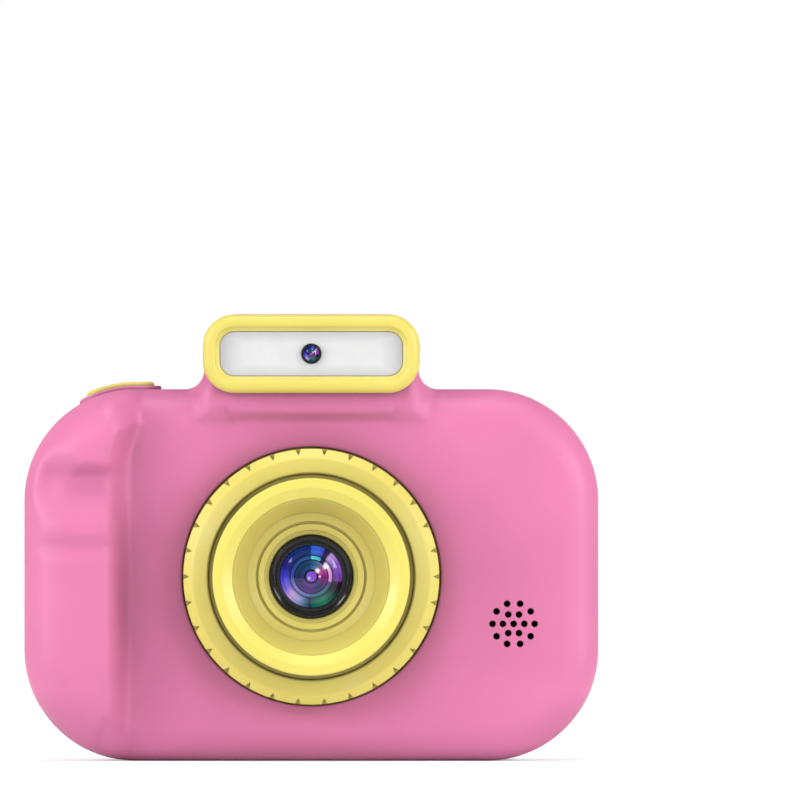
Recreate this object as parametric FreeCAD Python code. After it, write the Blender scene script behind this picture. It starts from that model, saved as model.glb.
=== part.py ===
import FreeCAD, Part
import math
import os

# Compact digital camera for children.
# Millimetres. +Z up. The camera's front looks along -Y. Seen from the front, +X is to the right,
# so the grip is at -X. Origin: centre of the flat underside, on the plane where the front and
# back shells meet (y = 0).

V = FreeCAD.Vector
os.makedirs("parts", exist_ok=True)

# ---------------------------------------------------------------- driving dimensions
# A "plate" is a rounded rectangle facing Y: centre x, centre z, width, height, corner radius.
BODY_W = 98.0          # body width
BODY_H = 63.5          # body height without the pod
BODY_R = 19.0          # corner radius of the body outline
CORNER_X = BODY_W / 2 - BODY_R    # distance of the corner centres from the middle
POD_HALF_W = 36.6 / 2  # half width of the pod on top
POD_TOP = 76.3         # height of the pod's top
POD_R = 5.5            # pod corner radius
POD_FILLET = 3.3       # hollow fillet where the pod meets the body
WALL = 2.0             # shell wall
FRONT_D = 14.0         # depth of the front face from the parting plane
BACK_D = 14.0          # depth of the back rim from the parting plane
GRIP_RISE = 7.0        # how far the grip stands out of the front face
POD_RISE = 1.8         # how far the pod's front stands out of the front face
POD_FACE = -(FRONT_D + POD_RISE)
BASE_PAD = 0.06        # the flat base pads stand this proud of the curved skin
PAD_HALF_W = 28.0      # half length of the base pads
PAD_D = 6.5            # depth of each base pad, from the parting plane
PAD_T = 0.6            # height of the base pads

LENS_Z = 31.55         # height of the lens axis
LENS_HOLE_R = 22.1     # hole through the front wall
FACE_RIM_R = 21.0      # where the front skin surface ends, inside that hole
RING_R = 21.8          # outside radius of the notched ring
RING_NOTCHES = 30

LEDGE_Y0, LEDGE_Y1 = 10.2, 12.2   # shell ledge under the back panel
PANEL_Z0, PANEL_Z1 = 4.36, 59.0
PANEL = (0, (PANEL_Z0 + PANEL_Z1) / 2, 89.5, PANEL_Z1 - PANEL_Z0, 14.7)
PANEL_FACE = 13.4                 # y of the panel's outer face
PANEL_BACK = PANEL_FACE - 1.0
FILM_T = 0.1                      # thickness of the ink layer and of the adhesive
PICTURE = (4.42, 31.4, 62.7, 41.7, 0.4)
SCREEN_HOLE = (5.9, 31.4, 68.4, 47.4, 1.0)
LCD_X0, LCD_X1, LCD_Z0, LCD_Z1 = -27.5, 39.3, 8.4, 54.4

KEYS = {
    "power": (-33.5, 49.2, 7.0, 7.05, 2.4),
    "up": (-35.95, 35.15, 11.7, 7.05, 2.8),
    "settings": (-32.05, 25.2, 5.9, 7.6, 2.6),
    "gallery": (-39.85, 25.2, 5.9, 7.6, 2.6),
    "down": (-35.95, 15.2, 11.7, 7.05, 2.8),
}
KEY_CLEAR = 0.15
KEY_BACK = 9.35                   # y of the cap's inner end
KEY_TOP = PANEL_FACE + 0.9        # the keys stand proud of the panel
SYMBOL_Y = KEY_TOP - 0.25         # floor of the sunk symbols
SWITCH_FACE = 7.6                 # y of the key switches' outer face

BOARD_Y0, BOARD_Y1 = 4.4, 5.6
BOARD_POSTS = [(27.0, 8.0), (27.0, 54.0), (-24.0, 5.6), (-20.5, 56.0)]    # x, z
BODY_SCREWS = [(-38.4, 53.6), (-31.5, 7.9), (42.1, 13.8), (42.3, 41.0)]   # x, z
POD_SCREWS = [(-11.0, 67.0), (11.0, 67.0)]
SCREWS = BODY_SCREWS + POD_SCREWS
SCREW_HEAD_Y = 11.12              # underside of the screw heads

SPEAKER_X, SPEAKER_Z = 34.5, 23.45
PORT_Y, PORT_Z = 7.25, 45.0
CARD_Y, CARD_Z = 3.4, 27.65
CARD_X = -47.2                    # outer end of the memory card
RESET_Y, RESET_Z = 1.9, 44.6

LIGHT_Z = 69.55                   # centre height of the light window in the pod's front
LIGHT_WINDOW = (0, LIGHT_Z, 31.2, 7.5, 2.35)
LIGHT_RIM = (0, LIGHT_Z, 30.1, 6.5, 1.75)
BEZEL_FACE = -18.4                # y of the pod bezel's front
REAR_LENS_Z = 65.8
REAR_WINDOW = (0, 66.05, 26.8, 11.15, 1.1)

# shutter plans, seen from above: x0, x1, y0, y1, corner radius
BEZEL_PLAN = (-39.7, -25.8, -8.2, 6.2, 3.2)
CAP_PLAN = (-38.5, -27.0, -7.0, 5.0, 2.3)
SHUTTER_X0, SHUTTER_X1 = -37.9, -27.6     # opening through both shells
SHUTTER_Y0, SHUTTER_Y1 = -6.4, 4.4
SHUTTER_Z0, SHUTTER_Z1 = 56.5, 70.0
PLUNGER_X, PLUNGER_Y = -31.6, -2.0


# ---------------------------------------------------------------- helpers
def box(x0, x1, y0, y1, z0, z1):
    return Part.makeBox(x1 - x0, y1 - y0, z1 - z0, V(x0, y0, z0))


def block(x, z, width, height, y0, y1):
    """Box centred on (x, z)."""
    return box(x - width / 2, x + width / 2, y0, y1, z - height / 2, z + height / 2)


def cyl(x, z, radius, y0, y1):
    """Cylinder along Y."""
    return Part.makeCylinder(radius, y1 - y0, V(x, y0, z), V(0, 1, 0))


def tube(x, z, outer_r, inner_r, y0, y1):
    return cyl(x, z, outer_r, y0, y1).cut(cyl(x, z, inner_r, y0 - 1, y1 + 1))


def plate_wire(x, z, width, height, r, y):
    a, b = width / 2, height / 2
    k = r * (1 - math.sqrt(0.5))
    ends = [(-a + r, -b), (a - r, -b), (a, -b + r), (a, b - r),
            (a - r, b), (-a + r, b), (-a, b - r), (-a, -b + r)]
    mids = [(a - k, -b + k), (a - k, b - k), (-a + k, b - k), (-a + k, -b + k)]
    ends = [V(x + px, y, z + pz) for px, pz in ends]
    mids = [V(x + px, y, z + pz) for px, pz in mids]
    edges = []
    for i in range(4):
        start, bend, end = ends[2 * i], ends[2 * i + 1], ends[(2 * i + 2) % 8]
        edges.append(Part.LineSegment(start, bend).toShape())
        edges.append(Part.Arc(bend, mids[i], end).toShape())
    return Part.Wire(edges)


def plate(x, z, width, height, r, y0, y1):
    return Part.Face(plate_wire(x, z, width, height, r, y0)).extrude(V(0, y1 - y0, 0))


def grown(outline, by):
    """Plate outline offset outwards, or inwards when by is negative."""
    x, z, width, height, r = outline
    return x, z, width + 2 * by, height + 2 * by, r + by


def slot_x(y, z, length, width, x0, x1):
    """Obround along Z, pushed along X."""
    r = width / 2
    reach = length / 2 - r
    slot = box(x0, x1, y - r, y + r, z - reach, z + reach)
    for side in (-1, 1):
        slot = slot.fuse(Part.makeCylinder(r, x1 - x0, V(x0, y, z + side * reach), V(1, 0, 0)))
    return slot


def turned(profile, z=LENS_Z, x=0.0):
    """Solid of revolution about the Y line through (x, z); profile lists (radius, y)."""
    pts = [V(x + r, y, z) for r, y in profile]
    return Part.Face(Part.makePolygon(pts + [pts[0]])).revolve(V(x, 0, z), V(0, 1, 0), 360)


def prism(profile, y0, y1):
    """Profile of (x, z) points pushed along Y."""
    pts = [V(x, y0, z) for x, z in profile]
    return Part.Face(Part.makePolygon(pts + [pts[0]])).extrude(V(0, y1 - y0, 0))


def dome(r, x, z, y_rim, sag, thick):
    """Lens of edge radius r with its front bulging by sag towards -Y."""
    ball_r = (r * r + sag * sag) / (2 * sag)
    ball = Part.makeSphere(ball_r, V(x, y_rim - sag + ball_r, z))
    return ball.common(cyl(x, z, r, y_rim - sag - 1, y_rim + thick))


def wire_run(points, r):
    """Round wire along a polyline with balls at the bends."""
    run = None
    for a, b in zip(points, points[1:]):
        along = V(*b) - V(*a)
        piece = Part.makeCylinder(r, along.Length, V(*a), along)
        run = piece if run is None else run.fuse(piece)
    for p in points[1:-1]:
        run = run.fuse(Part.makeSphere(r, V(*p)))
    return run


def polar(x, z, radius, degrees):
    a = math.radians(degrees)
    return x + radius * math.cos(a), z + radius * math.sin(a)


def fuse_each(shape, tools):
    for tool in tools:
        shape = shape.fuse(tool)
    return shape


def cut_each(shape, tools):
    for tool in tools:
        shape = shape.cut(tool)
    return shape


def edges_at(shape, y):
    """Edges lying in the plane at y."""
    return [e for e in shape.Edges
            if abs(e.BoundBox.YMin - y) < 1e-4 and abs(e.BoundBox.YMax - y) < 1e-4]


def fillet_at(shape, radius, y):
    return shape.makeFillet(radius, edges_at(shape, y))


def group(shapes):
    return Part.makeCompound([solid for s in shapes for solid in s.Solids])


def save(name, shape):
    if not isinstance(shape, Part.Compound) and len(shape.Solids) == 1:
        shape = shape.Solids[0]
    shape.exportStep("parts/%s.step" % name)


def smooth(t):
    """Smooth step from 0 to 1."""
    t = max(0.0, min(1.0, t))
    return t * t * (3 - 2 * t)


def mix(a, b, share):
    return a * (1 - share) + b * share


# ---------------------------------------------------------------- curved skins
WALL_STATIONS = (0, 0.33, 0.66, 0.9)                 # shares of the way along the side wall
ROLL_ANGLES = (0, 12, 25, 38, 51, 64, 77, 90)        # degrees round the edge rollover
FACE_STATIONS = (0.06, 0.14, 0.24, 0.35, 0.47, 0.6, 0.74, 0.88, 1.0)   # rollover to lens hole


def half_outline():
    """Right half of the body outline from the bottom up: x, z, outward normal x, z."""
    pts = []

    def line(x0, z0, x1, z1, n):
        length = math.hypot(x1 - x0, z1 - z0)
        tx, tz = (x1 - x0) / length, (z1 - z0) / length
        for i in range(n):
            s = i / n
            pts.append((x0 + (x1 - x0) * s, z0 + (z1 - z0) * s, tz, -tx))

    def arc(cx, cz, r, a0, a1, n, out=1):
        for i in range(n):
            a = math.radians(a0 + (a1 - a0) * i / n)
            c, s = math.cos(a), math.sin(a)
            pts.append((cx + r * c, cz + r * s, out * c, out * s))

    fillet_x, fillet_z = POD_HALF_W + POD_FILLET, BODY_H + POD_FILLET
    line(0, 0, CORNER_X, 0, 12)
    arc(CORNER_X, BODY_R, BODY_R, -90, 0, 16)
    line(BODY_W / 2, BODY_R, BODY_W / 2, BODY_H - BODY_R, 16)
    arc(CORNER_X, BODY_H - BODY_R, BODY_R, 0, 90, 20)
    line(CORNER_X, BODY_H, fillet_x, BODY_H, 5)
    arc(fillet_x, fillet_z, POD_FILLET, 270, 180, 6, -1)
    line(POD_HALF_W, fillet_z, POD_HALF_W, POD_TOP - POD_R, 3)
    arc(POD_HALF_W - POD_R, POD_TOP - POD_R, POD_R, 0, 90, 7)
    line(POD_HALF_W - POD_R, POD_TOP, 0, POD_TOP, 6)
    pts.append((0, POD_TOP, 0, 1))
    return pts


def full_outline():
    right = half_outline()
    left = [(-x, z, -nx, nz) for x, z, nx, nz in right[1:-1]]
    return right + left[::-1]


def front_depth(x, z, carve=1.0):
    """How far the front skin stands in front of the parting plane; carve scales the grip hollows."""
    edge = -30.9 + 2.7 * smooth((z - 50.5) / 11.0)    # x where the grip begins
    grip = smooth((edge - x) / 4.4)
    rise = GRIP_RISE - 1.3 * smooth((26.0 - z) / 26.0)
    hollow = 3.3 * smooth((51.3 - z) / 3.0) * (1 - smooth((48.3 - z) / 8.9))
    groove = 0.75 * math.exp(-(((z - 36.7) / 1.5) ** 2))
    depth = FRONT_D + grip * (rise - (hollow + groove) * carve)
    # shallow valley along the grip's edge
    valley = 0.9 * math.exp(-(((x - edge - 1.4) / 2.2) ** 2))
    depth -= valley * smooth((z - 1) / 6.0) * smooth((62.0 - z) / 8.0)
    # the pod's front
    return depth + POD_RISE * smooth((z - 57.2) / 2.6) * smooth((21.5 - abs(x)) / 3.2)


def pod_share(x, z):
    return smooth((z - 62.9) / 3.6) if abs(x) < 22.5 else 0.0


def front_roll(x, z):
    """Rollover at the front edge: in-plane radius and depth radius."""
    grip = smooth((-x - 28) / 12.0)
    pod = pod_share(x, z)
    return mix(6.0 + 1.5 * grip, 1.2, pod), mix(6.0 + 2.5 * grip, 1.2, pod)


def back_roll(x, z):
    """Rollover at the back edge: in-plane radius and depth radius."""
    pod = pod_share(x, z)
    return mix(3.2, 2.4, pod), mix(6.0, 4.0, pod)


def wall_points(x, z, y0, y1):
    return [V(x, y0 + (y1 - y0) * s, z) for s in WALL_STATIONS]


def front_columns(inset, y_start):
    """Poles from the parting plane over the front edge to the lens hole, for each outline point."""
    cols = []
    for x, z, nx, nz in full_outline():
        r, ry = front_roll(x, z)
        r, ry = max(r - inset, 0.7), max(ry - inset, 0.7)
        xe, ze = x - (inset + r) * nx, z - (inset + r) * nz      # inner end of the rollover
        carved, plain = front_depth(xe, ze) - inset, front_depth(xe, ze, 0.0) - inset
        col = wall_points(x - inset * nx, z - inset * nz, y_start, -(plain - ry))
        for degrees in ROLL_ANGLES:
            depth = plain + (carved - plain) * smooth((degrees - 48.0) / 42.0)
            a = math.radians(degrees)
            d = inset + r * (1 - math.cos(a))
            col.append(V(x - d * nx, -(depth - ry + ry * math.sin(a)), z - d * nz))
        a = math.atan2(ze - LENS_Z, xe)
        xc, zc = FACE_RIM_R * math.cos(a), LENS_Z + FACE_RIM_R * math.sin(a)
        for s in FACE_STATIONS:
            xx, zz = xe + (xc - xe) * s, ze + (zc - ze) * s
            depth = FRONT_D if s == 1.0 else front_depth(xx, zz)
            col.append(V(xx, -(depth - inset), zz))
        cols.append(col)
    return cols


def back_columns(inset, y_start, y_cap):
    """Poles from the parting plane over the back edge to the flat at y_cap."""
    cols = []
    for x, z, nx, nz in full_outline():
        r, ry = back_roll(x, z)
        r, ry = max(r - inset, 1.0), max(ry - inset, 1.5)
        col = wall_points(x - inset * nx, z - inset * nz, y_start, y_cap - ry)
        for degrees in ROLL_ANGLES:
            a = math.radians(degrees)
            d = inset + r * (1 - math.cos(a))
            col.append(V(x - d * nx, y_cap - ry + ry * math.sin(a), z - d * nz))
        cols.append(col)
    return cols


def base_lift(z):
    """Raises the skin's underside a hair, so that the flat base pads alone carry the body."""
    return z + BASE_PAD * (1 - smooth(z / 2.0))


def skin_solid(cols):
    """Closed solid from a ring-shaped cubic surface and the two flat faces that close it."""
    cols = [[V(p.x, p.y, base_lift(p.z)) for p in col] for col in cols]
    nu, nv = len(cols), len(cols[0])
    surface = Part.BSplineSurface()
    surface.buildFromPolesMultsKnots(
        cols, [1] * (nu + 1), [4] + [1] * (nv - 4) + [4], list(range(nu + 1)),
        list(range(nv - 2)), True, False, 3, 3)
    skin = surface.toShape()
    caps = []
    for e in skin.Edges:
        ys = [p.y for p in e.discretize(12)]
        if max(ys) - min(ys) < 1e-4 and e.isClosed():
            caps.append(Part.Face(Part.Wire([e])))
    shell = Part.makeShell([skin] + caps)
    shell.sewShape()
    solid = Part.Solid(shell)
    if solid.Volume < 0:
        solid.reverse()
    return solid


# ---------------------------------------------------------------- cuts shared by both shells
def card_scoop():
    """Finger hollow round the card slot, on the grip side."""
    return Part.makeSphere(6.4, V(-53.3, CARD_Y, CARD_Z))


def corner_band(h0, h1, plan):
    """Strip following the upper -X corner from h0 to h1 above the body, trimmed to a plan."""
    x0, x1, y0, y1, r = plan
    cx, cz = -CORNER_X, BODY_H - BODY_R
    n = 16

    def rail(radius):
        pts = []
        for i in range(n + 1):
            x = x0 + (x1 - x0) * i / n
            rise = math.sqrt(radius * radius - (x - cx) ** 2) if x < cx else radius
            pts.append(V(x, y0, cz + rise))
        curve = Part.BSplineCurve()
        curve.interpolate(pts)
        return pts, curve.toShape()

    high, high_edge = rail(BODY_R + h1)
    low, low_edge = rail(BODY_R + h0)
    outline = Part.Wire([low_edge, Part.LineSegment(low[-1], high[-1]).toShape(),
                         high_edge, Part.LineSegment(high[0], low[0]).toShape()])
    band = Part.Face(outline).extrude(V(0, y1 - y0, 0))
    # a plate laid flat, so that its outline is the plan and it spans z = 30 to 90
    xm, ym = (x0 + x1) / 2, (y0 + y1) / 2
    trim = plate(xm, ym, x1 - x0, y1 - y0, r, 0, 60)
    trim.rotate(V(xm, 0, ym), V(1, 0, 0), 90)
    trim.translate(V(0, ym, 30 - ym))
    return band.common(trim)


def widened(plan, by):
    x0, x1, y0, y1, r = plan
    return x0 - by, x1 + by, y0 - by, y1 + by, r + by


def bezel_seat():
    """Recess for the shutter bezel."""
    return corner_band(-0.95, 2.0, widened(BEZEL_PLAN, 0.05))


# ---------------------------------------------------------------- front shell
LENS_SCREWS = [polar(0, LENS_Z, 23.6, a) for a in (45, 135, 225, 315)]
GRILLE = ((1, 0.0), (6, 1.834), (10, 3.6))    # speaker holes: count, radius of the circle


def screw_post(x, z):
    """Post rooted in the thinnest part of the front wall above it."""
    offsets = (-1.9, 0, 1.9)
    depth = min(front_depth(x + dx, z + dz) for dx in offsets for dz in offsets)
    return cyl(x, z, 1.9, -(depth - 1.0), LEDGE_Y0 - 0.1)


def front_shell():
    shell = skin_solid(front_columns(0.0, 0.0)).cut(skin_solid(front_columns(WALL, 1.0)))
    shell = shell.cut(cyl(0, LENS_Z, LENS_HOLE_R, -30, 0))
    # front half of the flat pad the camera stands on
    shell = shell.fuse(box(-PAD_HALF_W, PAD_HALF_W, -PAD_D, 0.0, 0.0, PAD_T))

    # ring round the speaker, clear of the lens base
    speaker_ring = tube(SPEAKER_X, SPEAKER_Z, 10.2, 9.5, -13.0, -8.6).cut(
        cyl(0, LENS_Z, 25.6, -12.0, 0))
    # inside rail that the back shell locates on: x0, x1, z0, z1
    lips = [box(x0, x1, -3.0, 1.6, z0, z1) for x0, x1, z0, z1 in
            ((-26, 26, 2.0, 3.2), (45.8, 47.0, 22, 42), (-47.0, -45.8, 38.0, 41.5))]
    posts = [screw_post(x, z) for x, z in SCREWS]
    # two rails that carry the shutter board
    rails = [box(-37.2, -35.9, -14.5, -2.0, 50.6, 52.5), box(-27.6, -26.3, -13.0, -2.0, 50.6, 52.5)]
    board_posts = [cyl(x, z, 1.6, -12.6, BOARD_Y0) for x, z in BOARD_POSTS]
    shell = fuse_each(shell, [speaker_ring] + lips + posts + rails + board_posts)
    shell = cut_each(shell, [cyl(x, z, 0.7, 0.0, 12.0) for x, z in SCREWS])

    for count, radius in GRILLE:
        for i in range(count):
            x, z = polar(SPEAKER_X, SPEAKER_Z, radius, 360 * i / count)
            shell = shell.cut(cyl(x, z, 0.58, -16, -11))
    # opening in the pod's front for the light and the small lens
    shell = shell.cut(plate(0, LIGHT_Z, 32.5, 8.7, 2.9, -17, -12))
    shell = shell.cut(card_scoop())
    shell = shell.cut(box(SHUTTER_X0, SHUTTER_X1, SHUTTER_Y0, 0.5, SHUTTER_Z0, SHUTTER_Z1))
    shell = shell.cut(bezel_seat())
    return cut_each(shell, [cyl(x, z, 0.6, -13.2, -11.5) for x, z in LENS_SCREWS])


# ---------------------------------------------------------------- back shell
def corner_sector(r0, r1, a0, a1, y0, y1):
    """Part of a ring about the lower +X corner's centre, angles in degrees."""
    n = 8
    angles = [a0 + (a1 - a0) * i / n for i in range(n + 1)]
    pts = [polar(CORNER_X, BODY_R, r1, a) for a in angles]
    pts += [polar(CORNER_X, BODY_R, r0, a) for a in reversed(angles)]
    return prism(pts, y0, y1)


# the lanyard anchor's two pockets, then the passage that joins them behind a bridging bar:
# inner radius, outer radius, start angle, end angle
ANCHOR_CUTS = (
    (16.0, 21.0, -39.4, -30.8),
    (16.0, 21.0, -58.7, -49.7),
    (16.0, 17.6, -50.5, -38.6),
)


def back_shell():
    shell = skin_solid(back_columns(0.0, 0.0, BACK_D)).cut(
        skin_solid(back_columns(WALL, -1.0, LEDGE_Y0)))
    shell = shell.fuse(box(-PAD_HALF_W, PAD_HALF_W, 0.0, PAD_D, 0.0, PAD_T))
    # panel recess with a flared rim
    recess = grown(PANEL, 0.15)
    shell = shell.cut(plate(*recess, LEDGE_Y1, 16))
    flare = [plate_wire(*recess, 13.2), plate_wire(*grown(PANEL, 1.45), 14.3)]
    shell = shell.cut(Part.makeLoft(flare, True, True))

    shell = shell.cut(plate(*SCREEN_HOLE, 9, 13))
    shell = cut_each(shell, [plate(*grown(key, KEY_CLEAR), 9, 13) for key in KEYS.values()])
    for x, z in SCREWS:
        shell = shell.cut(cyl(x, z, 1.0, 9, 15))
        shell = shell.cut(cyl(x, z, 1.85, 11.1, 15 if (x, z) in POD_SCREWS else 13.0))
    # pocket for the pod's rear window
    shell = shell.cut(plate(*grown(REAR_WINDOW, 0.15), 12.7, 16))
    shell = shell.cut(cyl(0, REAR_LENS_Z, 3.0, 9, 16))

    shell = shell.fuse(corner_sector(14.6, 18.0, -64.5, -29.2, 0.3, 7.6))
    shell = cut_each(shell, [corner_sector(*cut, 2.2, 5.8) for cut in ANCHOR_CUTS])

    # openings in the grip side
    port = slot_x(PORT_Y, PORT_Z, 9.3, 3.6, -50, -45.2)
    port_dish = slot_x(PORT_Y, PORT_Z, 11.6, 5.9, -50, -48.1)
    reset_hole = Part.makeCylinder(0.5, 6, V(-50, RESET_Y, RESET_Z), V(1, 0, 0))
    card_slot = slot_x(CARD_Y, CARD_Z, 13.7, 1.9, -50, -45.6)
    shell = cut_each(shell, [port, port_dish, reset_hole, card_slot, card_scoop()])
    shell = shell.cut(box(SHUTTER_X0, SHUTTER_X1, -0.5, SHUTTER_Y1, SHUTTER_Z0, SHUTTER_Z1))
    return shell.cut(bezel_seat())


# ---------------------------------------------------------------- shutter
def shutter_bezel():
    return corner_band(-0.9, 0.62, BEZEL_PLAN).cut(corner_band(-3.0, 3.0, widened(CAP_PLAN, 0.15)))


def shutter_cap():
    head = corner_band(-0.2, 1.27, CAP_PLAN)
    # the head stays sharp if its top edges can't be rounded
    try:
        tops = [e for e in head.Edges if e.BoundBox.ZMin > 61.8 and e.Length > 0.8]
        head = head.makeFillet(0.45, tops)
    except Exception:
        pass
    stem = box(-37.6, -27.9, -6.1, 4.1, 58.6, 63.4).common(
        corner_band(-6.0, 0.0, (-39.5, -26.0, -8.0, 6.0, 2.0)))
    foot = Part.makeCylinder(1.6, 3.3, V(PLUNGER_X, PLUNGER_Y, 56.6))
    # bar across the stem's lower end, reaching past it in y
    bar = box(-36.0, -28.5, -7.2, 5.2, 58.6, 59.4)
    return head.fuse(stem).fuse(foot).fuse(bar)


def shutter_plunger():
    return Part.makeCylinder(1.1, 1.0, V(PLUNGER_X, PLUNGER_Y, 55.55))


def shutter_switch():
    body = box(PLUNGER_X - 2.25, PLUNGER_X + 2.25, PLUNGER_Y - 2.25, PLUNGER_Y + 2.25, 53.65, 55.6)
    return body.cut(Part.makeCylinder(1.15, 1.2, V(PLUNGER_X, PLUNGER_Y, 54.8)))


def shutter_board():
    board = box(-36.3, -26.6, -9.9, 3.2, 52.6, 53.6)
    return cut_each(board, [Part.makeCylinder(0.6, 3, V(x, -8.7, 52)) for x in (-35.2, -27.9)])


# ---------------------------------------------------------------- case screws
def case_screw(x, z):
    """Cross-head screw with a pointed tip."""
    head = cyl(x, z, 1.6, SCREW_HEAD_Y, 12.05)
    head = head.cut(block(x, z, 2.2, 0.4, 11.55, 13)).cut(block(x, z, 0.4, 2.2, 11.55, 13))
    shank = cyl(x, z, 0.69, 3.2, SCREW_HEAD_Y)
    tip = Part.makeCone(0.1, 0.69, 0.9, V(x, 2.3, z), V(0, 1, 0))
    return head.fuse(shank).fuse(tip)


def case_screws():
    return group([case_screw(x, z) for x, z in SCREWS])


# ---------------------------------------------------------------- back panel and its layers
def back_panel():
    panel = plate(*PANEL, PANEL_BACK, PANEL_FACE)
    panel = cut_each(panel, [plate(*grown(key, KEY_CLEAR), 12, 14) for key in KEYS.values()])
    return fillet_at(panel, 0.15, PANEL_FACE)


def panel_mask():
    """Ink layer behind the panel, open over the picture area."""
    mask = plate(*grown(PANEL, -0.1), PANEL_BACK - FILM_T, PANEL_BACK)
    mask = mask.cut(plate(*PICTURE, 12, 13))
    return cut_each(mask, [plate(*grown(key, 0.25), 12, 14) for key in KEYS.values()])


def panel_adhesive():
    film = plate(*grown(PANEL, -0.3), LEDGE_Y1, LEDGE_Y1 + FILM_T)
    film = film.cut(plate(5.9, 31.4, 68.9, 47.9, 1.2, 12, 13))
    film = cut_each(film, [plate(*grown(key, 0.3), 12, 14) for key in KEYS.values()])
    film = cut_each(film, [cyl(x, z, 1.85, 12, 13) for x, z in BODY_SCREWS])
    # only the largest piece is kept, not the slivers between the openings
    return max(film.Solids, key=lambda solid: solid.Volume)


# ---------------------------------------------------------------- screen module
def lcd_module():
    return box(LCD_X0, LCD_X1, 9.65, 12.15, LCD_Z0, LCD_Z1)


def lcd_tray():
    wall, gap = 0.45, 0.05     # both measured out from the module
    tray = box(LCD_X0 - wall, LCD_X1 + wall, 9.2, 11.7, LCD_Z0 - wall, LCD_Z1 + wall)
    tray = tray.cut(box(LCD_X0 - gap, LCD_X1 + gap, 9.6, 12, LCD_Z0 - gap, LCD_Z1 + gap))
    # windows in the floor: x0, x1, z0, z1
    for x0, x1, z0, z1 in ((-18, 26, 14, 19), (-18, 26, 44, 49), (35.6, 37.4, 22, 41)):
        tray = tray.cut(box(x0, x1, 9, 9.7, z0, z1))
    return tray


def lcd_flex():
    return box(36.3, 36.5, 6.6, 9.65, 23, 40).fuse(box(29.5, 36.5, 6.4, 6.6, 23, 40))


# ---------------------------------------------------------------- main board and what sits on it
def main_board():
    board = plate(-0.2, 31.3, 89.0, 51.4, 13.0, BOARD_Y0, BOARD_Y1)
    board = cut_each(board, [cyl(x, z, 2.5, 3, 7) for x, z in BODY_SCREWS])
    board = cut_each(board, [cyl(x, z, 0.8, 3, 7) for x, z in BOARD_POSTS])
    # notch in the +X edge
    return board.cut(box(40.0, 46, 3, 7, 37.5, 44.5))


# x0, x1, outer y, z0, z1
CHIPS = [
    (-8, 4, 6.9, 26, 38),
    (8, 17, 6.7, 33, 41),
    (8, 16, 6.7, 20, 28),
    (-20, -15.5, 6.6, 42, 46.5),
    (27.8, 31.2, 6.35, 22, 41),
]


def board_parts():
    parts = list(CHIPS)
    # a lower and an upper row of small parts
    for i in range(8):
        low, high = -20 + 3.1 * i, 8 + 2.2 * i
        parts.append((low, low + 1.8, 6.3, 12, 13))
        parts.append((high, high + 1.2, 6.2, 46, 47.8))
    return group([box(x0, x1, BOARD_Y1, y1, z0, z1) for x0, x1, y1, z0, z1 in parts])


def usb_socket():
    shell = slot_x(PORT_Y, PORT_Z, 8.94, 3.2, -46.0, -39.0)
    shell = shell.cut(slot_x(PORT_Y, PORT_Z, 8.34, 2.56, -46.5, -40.0))
    tongue = box(-44.9, -39.9, 6.9, 7.6, PORT_Z - 3.3, PORT_Z + 3.3)
    foot = box(-44.0, -39.0, BOARD_Y1, 6.2, PORT_Z - 3.0, PORT_Z + 3.0)
    return shell.fuse(tongue).fuse(foot).common(box(-46.0, -39.0, BOARD_Y1, 9.0, 40, 50))


def card_socket():
    socket = box(-45.3, -31.4, 2.35, 4.35, CARD_Z - 7.0, CARD_Z + 7.0)
    socket = socket.cut(box(-46, -32.0, 2.85, 3.95, CARD_Z - 5.6, CARD_Z + 5.6))
    return socket.cut(box(-38, -34, 2.0, 2.9, CARD_Z - 2, CARD_Z + 2))


def memory_card():
    card = box(CARD_X, CARD_X + 15.0, 3.0, 3.75, CARD_Z - 5.5, CARD_Z + 5.5)
    # stepped upper edge, then the thick outer end
    card = card.cut(box(CARD_X + 7.2, CARD_X + 16, 2, 5, CARD_Z + 4.2, CARD_Z + 6))
    card = card.cut(box(CARD_X + 6.2, CARD_X + 7.3, 2, 5, CARD_Z + 4.9, CARD_Z + 6))
    return card.fuse(box(CARD_X, CARD_X + 0.9, 2.7, 3.9, CARD_Z - 5.4, CARD_Z + 5.4))


def reset_switch():
    body = box(-45.6, -42.6, 0.9, 2.9, RESET_Z - 1.6, RESET_Z + 1.6)
    pin = Part.makeCylinder(0.45, 1.2, V(-46.6, RESET_Y, RESET_Z), V(1, 0, 0))
    foot = box(-43.9, -42.6, 2.9, BOARD_Y0, RESET_Z - 1.4, RESET_Z + 1.4)
    return body.fuse(pin).fuse(foot)


# ---------------------------------------------------------------- keys
def key_switches():
    return group([block(x, z, 4.4, 4.4, BOARD_Y1, SWITCH_FACE).cut(cyl(x, z, 1.15, 6.9, 9))
                  for x, z, *_ in KEYS.values()])


def sunk(points):
    """Cutter for a symbol in a key top, from (x, z) points."""
    return prism(points, SYMBOL_Y, SYMBOL_Y + 1)


def power_symbol(x, z):
    ring = tube(x, z, 1.75, 1.3, SYMBOL_Y, SYMBOL_Y + 1)
    ring = ring.cut(box(x - 0.62, x + 0.62, SYMBOL_Y - 1, SYMBOL_Y + 2, z + 0.4, z + 3))
    return [ring, box(x - 0.22, x + 0.22, SYMBOL_Y, SYMBOL_Y + 1, z + 0.2, z + 2.05)]


def arrow_symbol(x, z, way):
    """Triangle pointing up for way = 1, down for way = -1."""
    return [sunk([(x - 1.9, z - 1.3 * way), (x + 1.9, z - 1.3 * way), (x, z + 1.7 * way)])]


def gear_symbol(x, z):
    tooth = ((-14, 1.75), (14, 1.75), (17, 1.35), (28, 1.35))    # angle, radius
    pts = [polar(x, z, r, 45 * i + a) for i in range(8) for a, r in tooth]
    return [sunk(pts).cut(cyl(x, z, 0.62, SYMBOL_Y - 1, SYMBOL_Y + 2))]


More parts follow.
